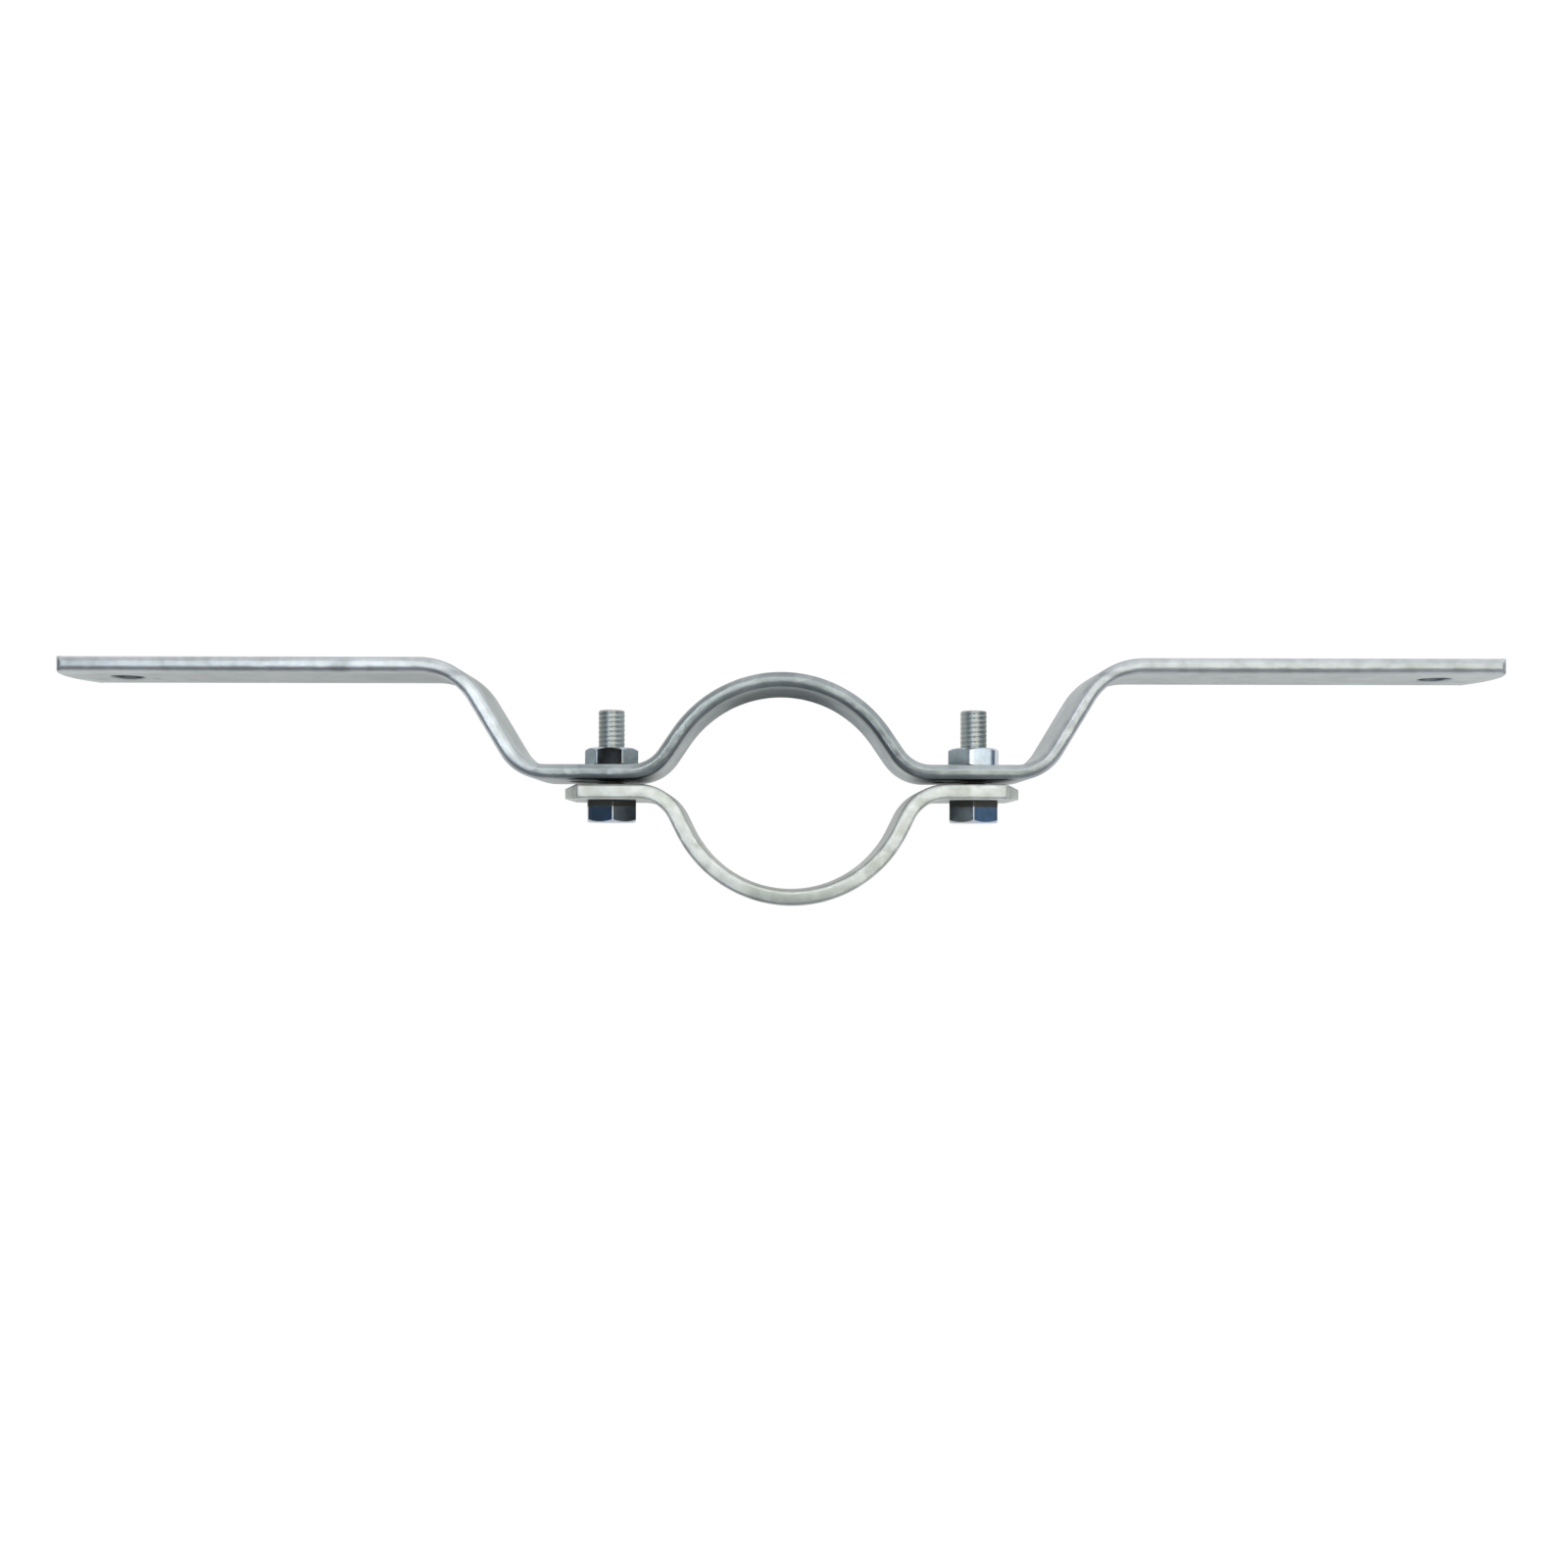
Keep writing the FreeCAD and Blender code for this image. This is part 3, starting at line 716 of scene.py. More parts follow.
    def ring(
        self, hole: Hole, place: float, columns: np.ndarray, rows: np.ndarray
    ) -> tuple[np.ndarray, np.ndarray, np.ndarray]:
        """The lines round a hole. A point that is a share f of the way round its quarter of the block goes
        with the rim's point at the share f of its own quarter: an arc and then a slot's straight part.

        Args:
            hole: the hole.
            place: where its centre is along the bar.
            columns: the block's places along the bar.
            rows: the block's places across it.

        Returns:
            The block's outline, the rim's line where its rounding begins, and the direction into the hole.
        """
        left, right = (np.stack((np.full(len(rows), columns[i]), rows), axis=-1) for i in (0, -1))
        low, top = (np.stack((columns, np.full(len(columns), rows[i])), axis=-1) for i in (0, -1))
        outline = np.concatenate((right[:-1], top[::-1][:-1], left[::-1][:-1], low[:-1]))
        side = np.abs(outline - (place, 0.0))
        wide, high = hole.block, rows[-1]
        upright = side[:, 0] >= wide - 1e-6
        share = np.where(upright, side[:, 1], high + wide - side[:, 0]) / (wide + high)
        arc = hole.radius * math.pi / 2.0
        way = share * (arc + hole.travel)
        angle = np.minimum(way, arc) / hole.radius
        spare = np.maximum(way - arc, 0.0)
        signs = np.where(outline - (place, 0.0) < 0.0, -1.0, 1.0)
        outward = np.stack((np.cos(angle), np.sin(angle)), axis=-1) * signs
        base = np.stack((hole.travel - spare, np.zeros_like(spare)), axis=-1) * signs
        rim = (place, 0.0) + base + (hole.radius + self.rim) * outward
        return outline, rim, -outward

    def surface(self) -> Shell:
        """Lays the patches of the flat bar: plain stretches, rings round holes, ends, the rolled edge and
        the holes' walls. The rolled edge's radius goes from the tips' to the long edges' with the fourth
        power of the share of its direction that points across the bar.

        Returns:
            Points as (along, across, up), and faces.
        """
        end, end_out = self.end_line()
        rows = end[:, 1]
        marks = sorted([(sign * hole.place, hole) for hole in self.holes for sign in (-1, 1)],
                       key=lambda mark: mark[0])
        breaks = [place + side * hole.block for place, hole in marks for side in (-1, 1)]
        stretches, flat, walls = [], [], []
        for i, (start, stop) in enumerate(zip(breaks[:-1], breaks[1:])):
            columns = np.linspace(start, stop, max(3, math.ceil((stop - start) / self.step) + 1))
            stretches.append(columns)
            if i % 2 == 1:
                flat.append((np.stack(np.meshgrid(columns, rows, indexing="ij"), axis=-1), False))
                continue
            place, hole = marks[i // 2]
            outline, rim, inward = self.ring(hole, place, columns, rows)
            share = np.linspace(0.0, 1.0, LINES)[None, :, None] ** self.crowding
            flat.append((outline[:, None, :] * (1.0 - share) + rim[:, None, :] * share, True))
            walls.append(self.band(rim, inward, self.rim, np.full(len(rim), self.rim)))
        steps = np.linspace(0.0, 1.0, LINES)[None, :]
        tip = np.stack((breaks[-1] + (end[:, :1] - breaks[-1]) * steps,
                        np.repeat(rows[:, None], LINES, axis=1)), axis=-1)
        flat += [(tip, False), (tip * (-1.0, 1.0), False)]

        bar = np.unique(np.round(np.concatenate(stretches), 9))
        edge = np.concatenate((-tip[0, ::-1, 0], bar[1:-1], tip[0, :, 0]))
        low = np.stack((edge, np.full(len(edge), rows[0])), axis=-1)
        down, up = (np.tile((0.0, sign), (len(edge), 1)) for sign in (-1.0, 1.0))
        line = np.concatenate((low[:-1], end[:-1], (low * (1.0, -1.0))[::-1][:-1],
                               (end * (-1.0, 1.0))[::-1][:-1]))
        out = np.concatenate((down[:-1], end_out[:-1], up[:-1], (end_out * (-1.0, 1.0))[::-1][:-1]))
        rolled = self.tip_arris + (self.arris - self.tip_arris) * out[:, 1] ** 4
        patches = [(self.band(line, out, self.arris, rolled), True)] + [(wall, True) for wall in walls]
        for patch, closed in flat:
            for level in (self.thickness / 2.0, -self.thickness / 2.0):
                heights = np.full((*patch.shape[:2], 1), level)
                patches.append((np.concatenate((patch, heights), axis=-1), closed))
        return join([(patch.reshape(-1, 3), grid_faces(*patch.shape[:2], closed))
                     for patch, closed in patches])


@dataclass(frozen=True)
class Arch:
    """The half ring round the post, with the root bends that lead to the flanges.

    Attributes:
        radius: its radius at the middle of the bar, as all radii here.
        angle: what each half of it turns through, in degrees.
        root_radius: the radius of the bend from it to the flange.
        flange_height: the flange's height over its centre.
    """

    radius: float
    angle: float
    root_radius: float
    flange_height: float

    def runs(self) -> tuple[tuple[tuple[float, float], ...], float]:
        """The centre line's first runs: the arc, a straight flank and the root bend. The flank takes what
        the two bends leave of the fall from crown to flange, divided by the sine of its slope.

        Returns:
            The runs, and where the last one ends along X.
        """
        turn = math.radians(self.angle)
        drop = self.radius * math.cos(turn) - self.root_radius * (1.0 - math.cos(turn)) - self.flange_height
        flank = drop / math.sin(turn)
        end = (self.radius + self.root_radius) * math.sin(turn) + flank * math.cos(turn)
        return ((self.radius * turn, -turn), (flank, 0.0), (self.root_radius * turn, turn)), end


@dataclass(frozen=True)
class Strap(Piece):
    """What both straps share: a blank, bent along a centre line, with the marks of bending and dipping.

    Attributes:
        seed: the random seed of its lumps.
        draw_in: how far the stretched side of a bend draws in at the edges, for a strain of 1.
        draw_zone: how far in from the edges it does so.
        edge_lump: the height of the lumps on the edge's flat.
        edge_wave: the usual distance between them.
        arris_lump: how unevenly the arrises are rolled.
        arris_wave: the usual length of that unevenness.
        arris_full: how far from an edge its arris is full, and from the middle of the thickness it starts.
    """

    metal: ClassVar[str] = "steel"
    slot: ClassVar[str] = "galvanised_steel"

    seed: int
    draw_in: float = 2.0
    draw_zone: float = 7.0
    edge_lump: float = 0.07
    edge_wave: float = 4.5
    arris_lump: float = 0.14
    arris_wave: float = 5.0
    arris_full: tuple[float, float] = (0.1, 0.2)

    def centre_line(self) -> CentreLine:
        """The line that it is bent to."""
        raise NotImplementedError

    def blank(self, line: CentreLine) -> Blank:
        """The flat bar that gives the centre line."""
        raise NotImplementedError

    def place(self, flat: np.ndarray) -> np.ndarray:
        """Puts points of the bent bar in the clamp."""
        return flat

    def wear(self, points: np.ndarray, blank: Blank, line: CentreLine) -> np.ndarray:
        """Moves the blank's points as bending and dipping do. Across a bend the stretched side is narrower
        by draw_in times the strain, which is minus curvature times height. The edge's flat sinks and its
        arrises are rolled further in by smooth random lines along the bar.

        Args:
            points: the blank's points as (along, across, up).
            blank: the blank.
            line: the centre line.

        Returns:
            The moved points.
        """
        along, across, up = points.T
        half = blank.width / 2.0
        strain = -line.curvature(along) * up
        near = smooth_step(np.abs(across), half - self.draw_zone, half)
        rolled = smooth_step(np.abs(across), half - blank.arris, half - self.arris_full[0])
        lump, above, below = (
            np.where(across >= 0.0, ripple(along, seed, wave), ripple(along, seed + 1, wave))
            for seed, wave in ((self.seed, self.edge_wave), (self.seed + 2, self.arris_wave),
                               (self.seed + 4, self.arris_wave)))
        corner = smooth_step(np.abs(up), self.arris_full[1], blank.thickness / 2.0)
        corner *= np.where(up > 0.0, above, below)
        sink = (near * self.draw_in * np.maximum(strain, 0.0)
                + rolled * (self.edge_lump * lump + self.arris_lump * corner))
        return np.stack((along, across - np.sign(across) * sink, up), axis=-1)

    def shell(self) -> Shell:
        """Lays the blank, wears it, bends it along the centre line and puts it in the clamp.

        Returns:
            Points and faces.
        """
        line = self.centre_line()
        blank = self.blank(line)
        flat, faces = blank.surface()
        worn = self.wear(flat, blank, line)
        bent = line.points(worn[:, 0], worn[:, 2])
        return self.place(np.column_stack((bent, worn[:, 1]))), faces


@dataclass(frozen=True)
class SignStrap(Strap):
    """The long strap that carries the sign: arch, flanges, joggles and arms.

    Attributes:
        arch: its arch and root bends.
        flange_end: where the flange ends along X.
        joggle_angle: how steep the joggle is, in degrees.
        foot_radius: the radius of the joggle's lower bend.
        shoulder_radius: the radius of its upper bend.
        arm_height: the arm's height.
        reach: where the arm ends along X.
        sign_hole: where the arm's hole is along X.
        end_radius: the radius of its bowed ends.
        corner: the radius at its four corners.
    """

    arch: Arch = Arch(32.25, 56.0, 10.8, 8.2)
    flange_end: float = 61.393
    joggle_angle: float = 59.0
    foot_radius: float = 11.6
    shoulder_radius: float = 17.0
    arm_height: float = 36.0
    reach: float = 191.0
    sign_hole: float = 175.0
    end_radius: float = 36.756
    corner: float = 1.55

    def centre_line(self) -> CentreLine:
        """The line that it is bent to. The joggle's slope takes what its two bends leave of the rise from
        flange to arm, divided by the sine of its angle.

        Returns:
            The centre line.
        """
        runs, root_end = self.arch.runs()
        ramp = math.radians(self.joggle_angle)
        bends = self.foot_radius + self.shoulder_radius
        slope = (self.arm_height - self.arch.flange_height - bends * (1.0 - math.cos(ramp))) / math.sin(ramp)
        shoulder_end = self.flange_end + bends * math.sin(ramp) + slope * math.cos(ramp)
        return CentreLine(self.arch.radius, (
            *runs,
            (self.flange_end - root_end, 0.0),
            (self.foot_radius * ramp, ramp),
            (slope, 0.0),
            (self.shoulder_radius * ramp, -ramp),
            (self.reach - shoulder_end, 0.0),
        ))

    def blank(self, line: CentreLine) -> Blank:
        """The flat bar, with a slot for each bolt and a hole near each tip. The bar is straight between a
        slot and the flange's end, and between a hole and the tip.

        Args:
            line: the centre line.

        Returns:
            The blank.
        """
        # The fourth run ends where the flange does.
        flange_end, half_length = (sum(length for length, _ in runs) for runs in (line.runs[:4], line.runs))
        slot = Hole(flange_end - self.flange_end + BOLT_PLACE, HOLE_RADIUS, travel=3.5, block=10.5)
        hole = Hole(half_length - self.reach + self.sign_hole, HOLE_RADIUS, travel=0.0, block=7.5)
        return Blank(half_length, self.end_radius, self.corner, (slot, hole))


@dataclass(frozen=True)
class ClipStrap(Strap):
    """The short strap that closes the ring behind the post: a half ring between two flanges.

    Attributes:
        arch: its half ring and root bends.
        reach: where the flange ends, from the strap's middle.
        end_radius: the radius of its ends, which are nearly straight.
        corner: how much of its four corners is cut off.
        arris: the radius of its rolled edges.
        centre: where the ring's centre is in the clamp.
        tip_sheared: how far from its tips the shear rolled its outer side over.
        tip_slope: how steeply.
    """

    arch: Arch = Arch(31.45, 64.0, 11.1, 3.8)
    reach: float = 59.237
    end_radius: float = 4000.0
    corner: float = 3.6
    arris: float = 0.8
    centre: tuple[float, float] = (2.8, 6.9)
    tip_sheared: float = 3.4
    tip_slope: float = 0.4

    def centre_line(self) -> CentreLine:
        """The line that it is bent to."""
        runs, root_end = self.arch.runs()
        return CentreLine(self.arch.radius, (*runs, (self.reach - root_end, 0.0)))

    def blank(self, line: CentreLine) -> Blank:
        """The flat bar, with a hole for each bolt. The bar is straight between a hole and the tip.

        Args:
            line: the centre line.

        Returns:
            The blank.
        """
        half_length = sum(length for length, _ in line.runs)
        hole = Hole(half_length - self.reach + BOLT_PLACE, HOLE_RADIUS, travel=0.0, block=6.5)
        return Blank(half_length, self.end_radius, self.corner, (hole,), Corner.CUT, arris=self.arris)

    def wear(self, points: np.ndarray, blank: Blank, line: CentreLine) -> np.ndarray:
        """Adds the shear's mark: over the last few millimetres the side towards the sign strap slopes away
        by tip_slope times the way past the slope's start.

        Args:
            points: the blank's points as (along, across, up).
            blank: the blank.
            line: the centre line.

        Returns:
            The moved points.
        """
        worn = super().wear(points, blank, line)
        past = np.maximum(np.abs(worn[:, 0]) - (blank.half_length - self.tip_sheared), 0.0)
        share = 0.5 - worn[:, 2] / blank.thickness
        worn[:, 2] += self.tip_slope * past * np.clip(share, 0.0, 1.0)
        return worn

    def place(self, flat: np.ndarray) -> np.ndarray:
        """Turns the strap half a turn about Z and puts its ring's centre in place."""
        return np.array((*self.centre, 0.0)) + flat * (-1.0, -1.0, 1.0)


# Fasteners


@dataclass(frozen=True)
class Hexagon:
    """The outline of a forged hexagon with slightly rounded corners.

    Attributes:
        turn: how far its first corner is turned from the X axis, in degrees.
        width: the width across flats.
        corner: the radius at its corners.
        washer_face: the radius inside which its ends are flat.
        chamfer: the angle of the chamfer at its ends, in degrees.
    """

    turn: float
    width: float = 12.75
    corner: float = 0.5
    washer_face: float = 6.05
    chamfer: float = 30.0

    def bend(self) -> tuple[float, float]:
        """How far a rounded corner's centre is from the axis, and half the angle that the corner takes."""
        centre = (self.width / 2.0 - self.corner) / math.cos(HALF_SIDE)
        return centre, math.atan2(self.corner / 2.0, centre + self.corner * math.cos(HALF_SIDE))

    def angles(self) -> np.ndarray:
        """Angles about the axis, close together at the corners.

        Returns:
            The angles, from half a side before the first corner on.
        """
        bend = np.degrees(self.bend()[1]) * np.linspace(-1.0, 1.0, 9)
        near = np.concatenate(((-30.0, -20.0, -10.0), bend, (10.0, 20.0)))
        return np.radians((self.turn + np.arange(6)[:, None] * 60.0 + near[None, :]).ravel())

    def radius(self, angles: np.ndarray) -> np.ndarray:
        """The outline's radius. A flat is half the width over the cosine of the angle from its middle. A
        corner of radius r about a centre at the distance d is d cos(b) + sqrt(r^2 - d^2 sin(b)^2), with b
        from the corner.

        Args:
            angles: angles about the axis.

        Returns:
            The radius at each.
        """
        off = np.abs((angles - math.radians(self.turn) + HALF_SIDE) % (2.0 * HALF_SIDE) - HALF_SIDE)
        centre, limit = self.bend()
        flat = self.width / 2.0 / np.cos(HALF_SIDE - off)
        bend = centre * np.cos(off) + np.sqrt(np.maximum(self.corner**2 - (centre * np.sin(off)) ** 2, 0.0))
        return np.where(off > limit, flat, bend)

    def fall(self, angles: np.ndarray) -> np.ndarray:
        """How far the chamfer falls at the outline: its way past the washer face times the slope."""
        return (self.radius(angles) - self.washer_face) * math.tan(math.radians(self.chamfer))


@dataclass(frozen=True)
class Thread:
    """A metric thread of eight grid lines a turn, whose lines follow the helix.

    Attributes:
        crest: the radius at its crests.
        depth: how deep it is cut.
        pitch: the distance from crest to crest.
    """

    crest: float
    depth: float = 0.09
    pitch: float = 1.25

    def surface(
        self, x: float, angles: np.ndarray, ends: tuple[float, float], end_radius: float, flare: float
    ) -> Shell:
        """The thread between two flat ends. At the share f of a turn the radius is the crest's up to 1/8,
        falls evenly to the root's at 7/16, stays there to 11/16 and rises evenly to the crest's at 1. A
        line's height is pitch times (turns + f + angle / 360), held between the ends, and a cone at each
        end limits the radius, so that all lines past an end close up on its ring.

        Args:
            x: where the axis is along X.
            angles: angles about the axis, rising from line to line.
            ends: the heights of its ends.
            end_radius: the cones' radius at the ends.
            flare: how fast the cones widen, less than 0 in a nut, where they narrow.

        Returns:
            Points and faces.
        """
        shares = np.array((0.0, 0.0625, 0.125, 0.28125, 0.4375, 0.5625, 0.6875, 0.84375))
        cut = np.interp(shares, (0.0, 0.125, 0.4375, 0.6875, 1.0), (0.0, 0.0, 1.0, 1.0, 0.0)) * self.depth
        low, high = ends
        # A few turns to spare before and after the ends leave room for the angles, which don't start at 0.
        first = math.floor(low / self.pitch) - 3
        turns = math.ceil((high - low) / self.pitch) + 7
        lines = (np.arange(turns)[:, None] + first + shares[None, :]).ravel()
        height = np.clip(self.pitch * (lines[:, None] + angles[None, :] / (2.0 * math.pi)), low, high)
        radius = np.broadcast_to((self.crest - np.tile(cut, turns))[:, None], height.shape)
        cone = end_radius + flare * np.minimum(height - low, high - height)
        radius = np.minimum(radius, cone) if flare > 0.0 else np.maximum(radius, cone)
        points = np.stack((x + radius * np.cos(angles), height, -radius * np.sin(angles)), axis=-1)
        rows, columns = height.shape
        line = np.arange(rows - len(shares) - 1)[:, None]
        column = np.arange(columns)[None, :]
        here = line * columns + column
        after = np.where(column == columns - 1, (line + len(shares)) * columns, here + 1)
        faces = np.stack((here, after, after + columns, here + columns), axis=-1).reshape(-1, 4)
        return points.reshape(-1, 3), faces


def turned_shell(
    x: float, angles: np.ndarray, section: list[tuple[np.ndarray | float, np.ndarray | float]]
) -> Shell:
    """Turns a section about a fastener's axis. Each of its points is a radius and a height, which may both
    change with the angle.

    Args:
        x: where the axis is along X.
        angles: angles about the axis.
        section: the section's radii and heights.

    Returns:
        Points and faces.
    """
    radius, height = (np.stack([np.broadcast_to(value, angles.shape) for value in values], axis=1)
                      for values in zip(*section))
    around = angles[:, None]
    points = np.stack((x + radius * np.cos(around), height, -radius * np.sin(around)), axis=-1)
    return points.reshape(-1, 3), grid_faces(len(angles), len(section), True)


@dataclass(frozen=True)
class Fastener(Piece):
    """What bolts and nuts share.

    Attributes:
        side: the end of the clamp that it is at.
        turn: how far its hexagon is turned, in degrees.
        shift: where the middle of the pair is along X.
    """

    metal: ClassVar[str] = "zinc"
    slot: ClassVar[str] = "zinc_plated_steel"
    crease: ClassVar[float | None] = 24.0

    side: Side
    turn: float
    shift: float = 3.1

    def axis(self) -> float:
        """Where its axis is along X."""
        return self.shift + self.side.value * BOLT_PLACE


@dataclass(frozen=True)
class Bolt(Fastener):
    """An M8 hexagon bolt, threaded up to its head.

    Attributes:
        seat: the height of its head's bearing face.
        head: the height of its head.
        length: its length under the head.
        crest: its thread's outer radius.
        end_radius: its radius at the tip and at the neck.
        bevel: the size of the bevel round its bearing face.
        rings: how far from the edges of the head's top and of the tip the next ring of points is.
        middle_ring: the radius of one more ring on the head's top.
    """

    seat: float = 1.1
    head: float = 5.8
    length: float = 24.2
    crest: float = 3.53
    end_radius: float = 3.2
    bevel: float = 0.12
    rings: tuple[float, float] = (0.2, 0.25)
    middle_ring: float = 3.0

    def shell(self) -> Shell:
        """The shank's thread, the head and the tip's end.

        Returns:
            Points and faces.
        """
        x, hexagon = self.axis(), Hexagon(-self.turn)
        angles = hexagon.angles()
        outline, fall = hexagon.radius(angles), hexagon.fall(angles)
        tip, top = self.seat + self.length, self.seat - self.head
        face = hexagon.washer_face
        shank = Thread(self.crest).surface(x, angles, (self.seat, tip), self.end_radius, 1.0)
        head = turned_shell(x, angles, [
            (self.end_radius, self.seat), (outline - self.bevel, self.seat),
            (outline, self.seat - self.bevel), (outline, top + fall), (face, top),
            (face - self.rings[0], top), (self.middle_ring, top), (0.0, top)])
        end = turned_shell(x, angles, [
            (self.end_radius, tip), (self.end_radius - self.rings[1], tip), (0.0, tip)])
        return join([shank, head, end])


@dataclass(frozen=True)
class Nut(Fastener):
    """A thin M8 hexagon nut, chamfered on both faces.

    Attributes:
        seat: the height of the flange that it sits on.
        height: its height.
        crest: its thread's outer radius, which stands a little off the bolt's.
        countersink: the radius of its countersinks.
    """

    seat: float = 10.2
    height: float = 5.0
    crest: float = 3.61
    countersink: float = 4.6

    def shell(self) -> Shell:
        """The bore's thread and the block round it.

        Returns:
            Points and faces.
        """
        x, hexagon = self.axis(), Hexagon(self.turn, width=12.55, corner=0.6, washer_face=5.95)
        angles = hexagon.angles()
        outline, fall = hexagon.radius(angles), hexagon.fall(angles)
        low, high = self.seat, self.seat + self.height
        face = hexagon.washer_face
        bore = Thread(self.crest).surface(x, angles, (low, high), self.countersink, -1.0)
        block = turned_shell(x, angles, [(self.countersink, low), (face, low), (outline, low + fall),
                                         (outline, high - fall), (face, high), (self.countersink, high)])
        return join([bore, block])


# Studio


@dataclass(frozen=True)
class Studio:
    """A pale table under soft light, and the camera over it.

    Attributes:
        table: the table's height, at the straps' lower edges.
        table_size: the table's side.
        camera: the camera's place.
        lens: its focal length, for a 36 mm sensor.
        shift: how far the picture's middle is from the lens's axis, as a share of its width.
        roll: how far the camera is turned about the way it looks, in degrees.
        table_glow: how bright the table is to the camera.
        panel_glow: how much brighter the panel is than the room.
    """

    table: float = -15.02
    table_size: float = 6000.0
    camera: tuple[float, float, float] = (-1.24, -15.1, 446.5)
    lens: float = 38.25
    shift: tuple[float, float] = (0.005, 0.0496)
    roll: float = 0.11
    table_glow: float = 1.09
    panel_glow: float = 4.85

    def lay_table(self) -> None:
        """Lays the table: white to the camera, and softer in the metal, with the clamp's shadow kept."""
        half, height = self.table_size / 2.0 * MM, self.table * MM
        corners = ((-half, -half), (half, -half), (half, half), (-half, half))
        mesh = bpy.data.meshes.new("table")
        mesh.from_pydata([(x, y, height) for x, y in corners], [], [(0, 1, 2, 3)])
        table = add_object("table", mesh)
        card = bpy.data.materials.new("white_card")
        add = partial(add_node, empty_tree(card))
        rays = add("LightPath").outputs

        # In the metal the table is dim below the arch's crown and pale further out.
        place = add("TexCoord").outputs["Object"]
        far = add("VectorMath", {"operation": "DISTANCE", 1: (0.0, 30.0 * MM, height)}, {0: place})
        way = add("MapRange", {"From Max": 300.0 * MM}, {"Value": far.outputs["Value"]})
        pale = add("ValToRGB", links={"Fac": way},
                   stops=((0.03, "#101010"), (0.12, "#BEBFC2"), (1.0, "#E2E5E8")))
        metal = add("Math", {"operation": "MULTIPLY_ADD"},
                    {0: rays["Is Glossy Ray"], 1: pale, 2: rays["Is Transmission Ray"]})
        seen = add("Math", {"operation": "MULTIPLY_ADD", 1: 0.9, "use_clamp": True},
                   {0: rays["Is Camera Ray"], 2: metal})
        paper = add("BsdfDiffuse", {"Color": linear("#F4F4F4")})
        white = add("Emission", {"Color": linear("#FFFFFF"), "Strength": self.table_glow})
        mix = add("MixShader", links={0: seen, 1: paper, 2: white})
        add("OutputMaterial", links={"Surface": mix})
        table.data.materials.append(card)

    def light(self) -> None:
        """Lights the room: a soft panel overhead with a gap for the camera, dim walls and a pale horizon."""
        world = bpy.data.worlds.new("room")
        bpy.context.scene.world = world
        add = partial(add_node, empty_tree(world))
        axes = add("SeparateXYZ", links={"Vector": add("TexCoord").outputs["Generated"]}).outputs

        # The room's ramp runs on the height of the direction, 0 at the horizon and 1 overhead.
        room = add("ValToRGB", links={"Fac": axes["Z"]},
                   stops=((0.0, "#CDD5DB"), (0.1, "#7C858D"), (0.2, "#3A3633"), (0.46, "#342F2E"),
                          (0.56, "#627C9A"), (0.68, "#485D78"), (0.96, "#4E6480"), (0.979, "#1C1C1E")))

        # A pale wall stands on the sign's side and a dimmer one on the post's.
        walls = add("ValToRGB", links={"Fac": axes["Y"]}, stops=((0.0, "#999CA3"), (0.3, "#F8FBFF")))
        side = add("Math", {"operation": "ABSOLUTE"}, {0: axes["Y"]})
        near = add("MapRange", {"interpolation_type": "SMOOTHSTEP", "From Min": 0.2, "From Max": 0.42},
                   {"Value": side})
        behind = add("Mix", {"data_type": "RGBA"}, {0: near, 6: room, 7: walls}).outputs[2]

        # The panel is long in X and narrow in Y, with a gap for the camera right overhead.
        high = add("ValToRGB", links={"Fac": axes["Z"]},
                   stops=((0.79, "#000000"), (0.84, "#FFFFFF"), (0.968, "#FFFFFF"), (0.979, "#000000")))
        off = add("Math", {"operation": "SUBTRACT", 1: 0.05}, {0: axes["Y"]})
        across = add("Math", {"operation": "ABSOLUTE"}, {0: off})
        wide = add("MapRange", {"From Min": 0.29, "From Max": 0.21}, {"Value": across})
        share = add("Math", {"operation": "MULTIPLY"}, {0: high, 1: wide})

        # It is cooler and dimmer at its left end, and dimmer again at its right one.
        length = add("MapRange", {"From Min": -0.5, "From Max": 0.5}, {"Value": axes["X"]})
        panel = add("ValToRGB", links={"Fac": length},
                    stops=((0.06, "#526068"), (0.14, "#80909A"), (0.24, "#FFFFFF"), (0.5, "#F6F7F5"),
                           (0.72, "#CDCDBE"), (0.82, "#9C9C8E"), (0.91, "#8C8C80"), (0.98, "#D2CFC4")))
        colour = add("Mix", {"data_type": "RGBA"}, {0: share, 6: behind, 7: panel}).outputs[2]
        left = add("MapRange", {"From Min": -0.45, "From Max": 0.0, "To Min": 0.52, "To Max": 1.0},
                   {"Value": axes["X"]})
        level = add("MapRange", {"To Max": self.panel_glow}, {"Value": share, "To Min": left})
        glow = add("Background", links={"Color": colour, "Strength": level})
        white = add("Background", {"Color": linear("#FFFFFF"), "Strength": 1.0})
        camera_ray = add("LightPath").outputs["Is Camera Ray"]
        mix = add("MixShader", links={0: camera_ray, 1: glow, 2: white})
        add("OutputWorld", links={"Surface": mix})

    def set_camera(self) -> None:
        """Hangs the camera over the clamp, looking straight down."""
        lens = bpy.data.cameras.new("camera")
        lens.lens, lens.sensor_width = self.lens, 36.0
        lens.shift_x, lens.shift_y = self.shift
        lens.clip_start, lens.clip_end = 0.01, 20.0
        camera = add_object("camera", lens)
        camera.location = [value * MM for value in self.camera]
        camera.rotation_euler = (0.0, 0.0, math.radians(self.roll))
        bpy.context.scene.camera = camera


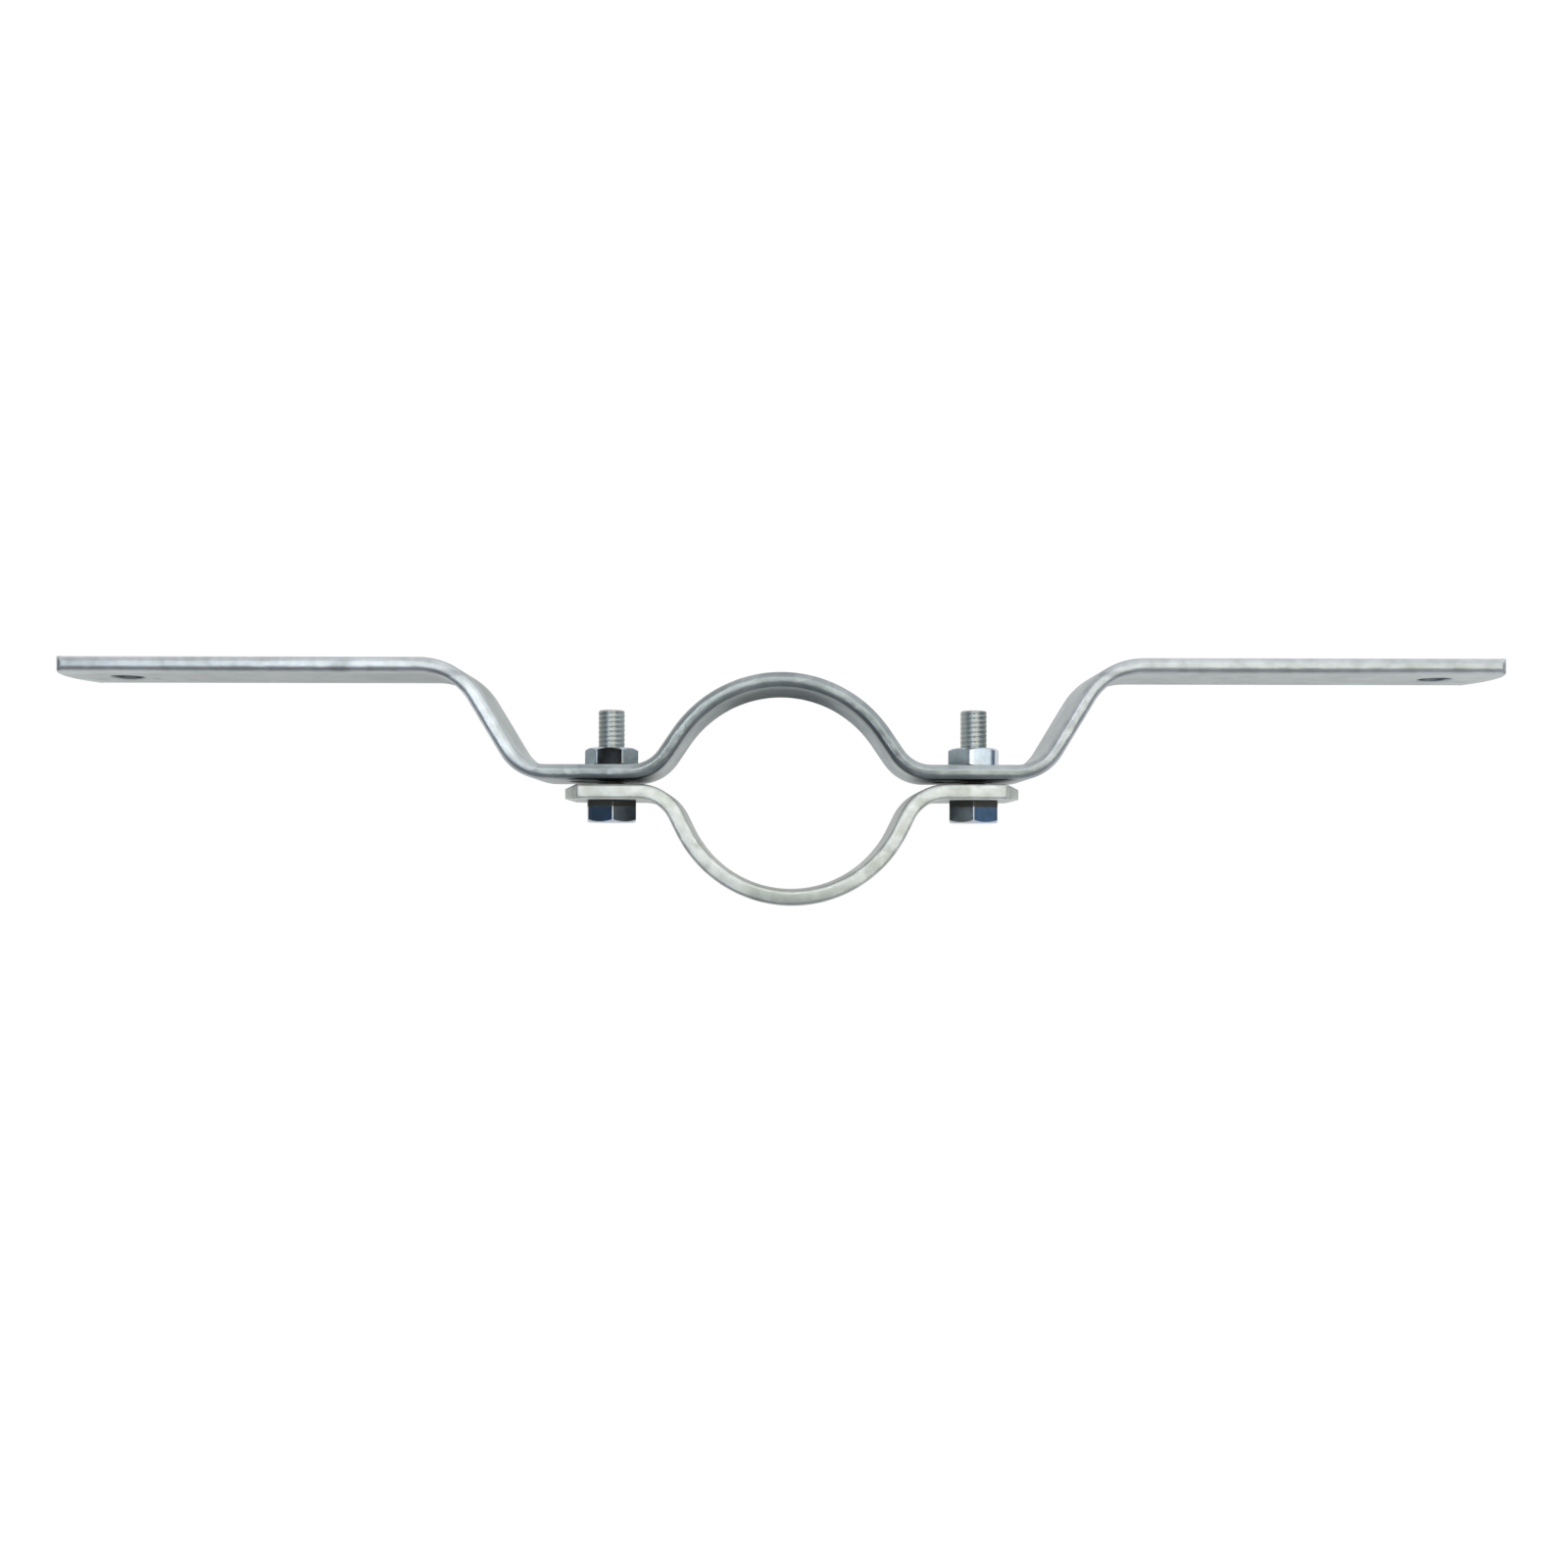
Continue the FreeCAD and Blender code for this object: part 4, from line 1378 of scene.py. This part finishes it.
BAR_PAINTED_LIGHT_AND_STAINS = (
    # The near edge from joggle to joggle, the arch's and flanges' tone, and the arch's two shoulders.
    PaintedLightAndStain((0.0, 20.0, 16.4), (90.0, 60.0, 3.2), 0.9, 0.6),
    PaintedLightAndStain((0.0, 20.0, 0.0), (60.0, 60.0, 14.0), 1.16, 0.85),
    PaintedLightAndStain((24.0, 24.0, 0.0), (13.0, 12.0, 14.2), 1.32, 0.7),
    PaintedLightAndStain((-24.0, 24.0, 0.0), (13.0, 12.0, 14.2), 1.2, 0.7),
    # A painted highlight on the left joggle's near edge, and painted shade on the crown's near edge and
    # faces.
    PaintedLightAndStain((-77.0, 20.0, 15.4), (16.0, 18.0, 1.9), 1.25, 0.6),
    PaintedLightAndStain((0.0, 34.8, 14.6), (30.0, 2.4, 5.0), 0.75),
    PaintedLightAndStain((0.0, 30.0, -3.0), (24.0, 9.0, 17.0), 0.68),
    # Painted shade on both sides alike: between the flanges, at the roots and along the arms' near edges.
    *(PaintedLightAndStain((sign * x, y, z), size, tone, core) for (x, y, z), size, tone, core in (
        ((46.0, 5.4, 8.0), (24.0, 2.8, 30.0), 0.42, 0.3),
        ((34.0, 12.0, -4.0), (6.0, 8.0, 17.0), 0.86, 0.3),
        ((126.0, 33.7, 15.6), (76.0, 1.5, 2.4), 0.72, 0.6)) for sign in (-1, 1)),
    # The left arm's tone, then the arms' near edges.
    PaintedLightAndStain((-125.0, 33.0, 0.0), (78.0, 8.0, 14.2), 0.84, 0.8),
    PaintedLightAndStain((-112.0, 36.2, 15.5), (26.0, 1.8, 2.0), 1.14, 0.6),
    PaintedLightAndStain((-188.0, 36.2, 15.5), (24.0, 1.8, 2.0), 0.86),
    PaintedLightAndStain((176.0, 36.2, 15.5), (46.0, 1.8, 2.0), 0.9, 0.5),
    # The left joggle and its shoulder.
    PaintedLightAndStain((-80.0, 22.0, 0.0), (17.0, 16.0, 14.4), 0.79, 0.7),
    PaintedLightAndStain((-96.0, 33.0, 0.0), (22.0, 8.0, 14.2), 0.87, 0.5),
    # Small spots along the arms.
    PaintedLightAndStain((-114.5, 35.0, 15.0), (4.0, 3.0, 2.0), 0.7),
    PaintedLightAndStain((-184.5, 34.0, -6.0), (2.4, 1.0, 3.0), 0.7),
    PaintedLightAndStain((-176.5, 34.0, -5.0), (3.0, 1.0, 3.0), 0.75),
    PaintedLightAndStain((-168.5, 34.0, -4.0), (2.2, 1.0, 2.5), 0.65),
    PaintedLightAndStain((-160.0, 34.0, -6.0), (2.6, 1.0, 2.5), 0.75),
    PaintedLightAndStain((185.0, 34.0, -6.0), (3.4, 1.0, 2.5), 0.75),
)
CLIP_PAINTED_LIGHT_AND_STAINS = (
    # The crown's near edge lighter, painted shade on the crown's faces, and the sign strap's painted shadow
    # on the left flange's near edge.
    PaintedLightAndStain((2.8, -26.0, 16.6), (24.0, 12.0, 3.0), 1.2, 0.5),
    PaintedLightAndStain((2.8, -21.0, 0.0), (24.0, 6.0, 14.6), 0.7, 0.85),
    PaintedLightAndStain((-46.0, 5.2, 15.0), (26.0, 1.0, 4.0), 0.45, 0.6),
    # Painted shade on the root bends beside the bolt heads, which darkens the heads' faces in reflection,
    # and the near corners of the tips lighter.
    *(PaintedLightAndStain((x, -3.0, 0.0), (6.0, 8.0, 12.5), 0.35, 0.6) for x in (-31.5, 37.1)),
    *(PaintedLightAndStain((x, -1.2, 12.5), (4.2, 4.0, 5.0), 1.35) for x in (-55.0, 60.6)),
)


def main() -> None:
    """Builds the clamp, lights it and sets the camera."""
    logging.basicConfig(level=logging.INFO, format="%(name)s: %(message)s")
    bpy.context.scene.view_settings.view_transform = "Standard"
    studio = Studio()
    studio.set_camera()
    SignStrap("sign_strap", seed=11).build(GalvanisedSteel(
        "galvanised_bar", edge_light="#DFE3E5", edge_dark="#CBD0D0", frost_roughness=0.44,
        frost_from=(58.0, 76.0), painted_light_and_stains=BAR_PAINTED_LIGHT_AND_STAINS))
    ClipStrap("clip_strap", seed=31).build(GalvanisedSteel(
        "galvanised_clip", light="#CED2CD", middle="#BEC3BD", dark="#A8ACA6", edge_light="#F3F5F1",
        edge_dark="#D8DBD2", frosting=1.0, frost_roughness=0.5, centre=2.8, frost_from=(2.0, 22.0),
        painted_light_and_stains=CLIP_PAINTED_LIGHT_AND_STAINS))
    plate = BrightZinc("bright_zinc_plate")
    for fastener in (
        Bolt("bolt_left", Side.LEFT, 22.0),
        Bolt("bolt_right", Side.RIGHT, 36.5),
        Nut("nut_left", Side.LEFT, 0.0),
        Nut("nut_right", Side.RIGHT, 14.0),
    ):
        fastener.build(plate)
    studio.lay_table()
    studio.light()


if __name__ == "__main__":
    main()
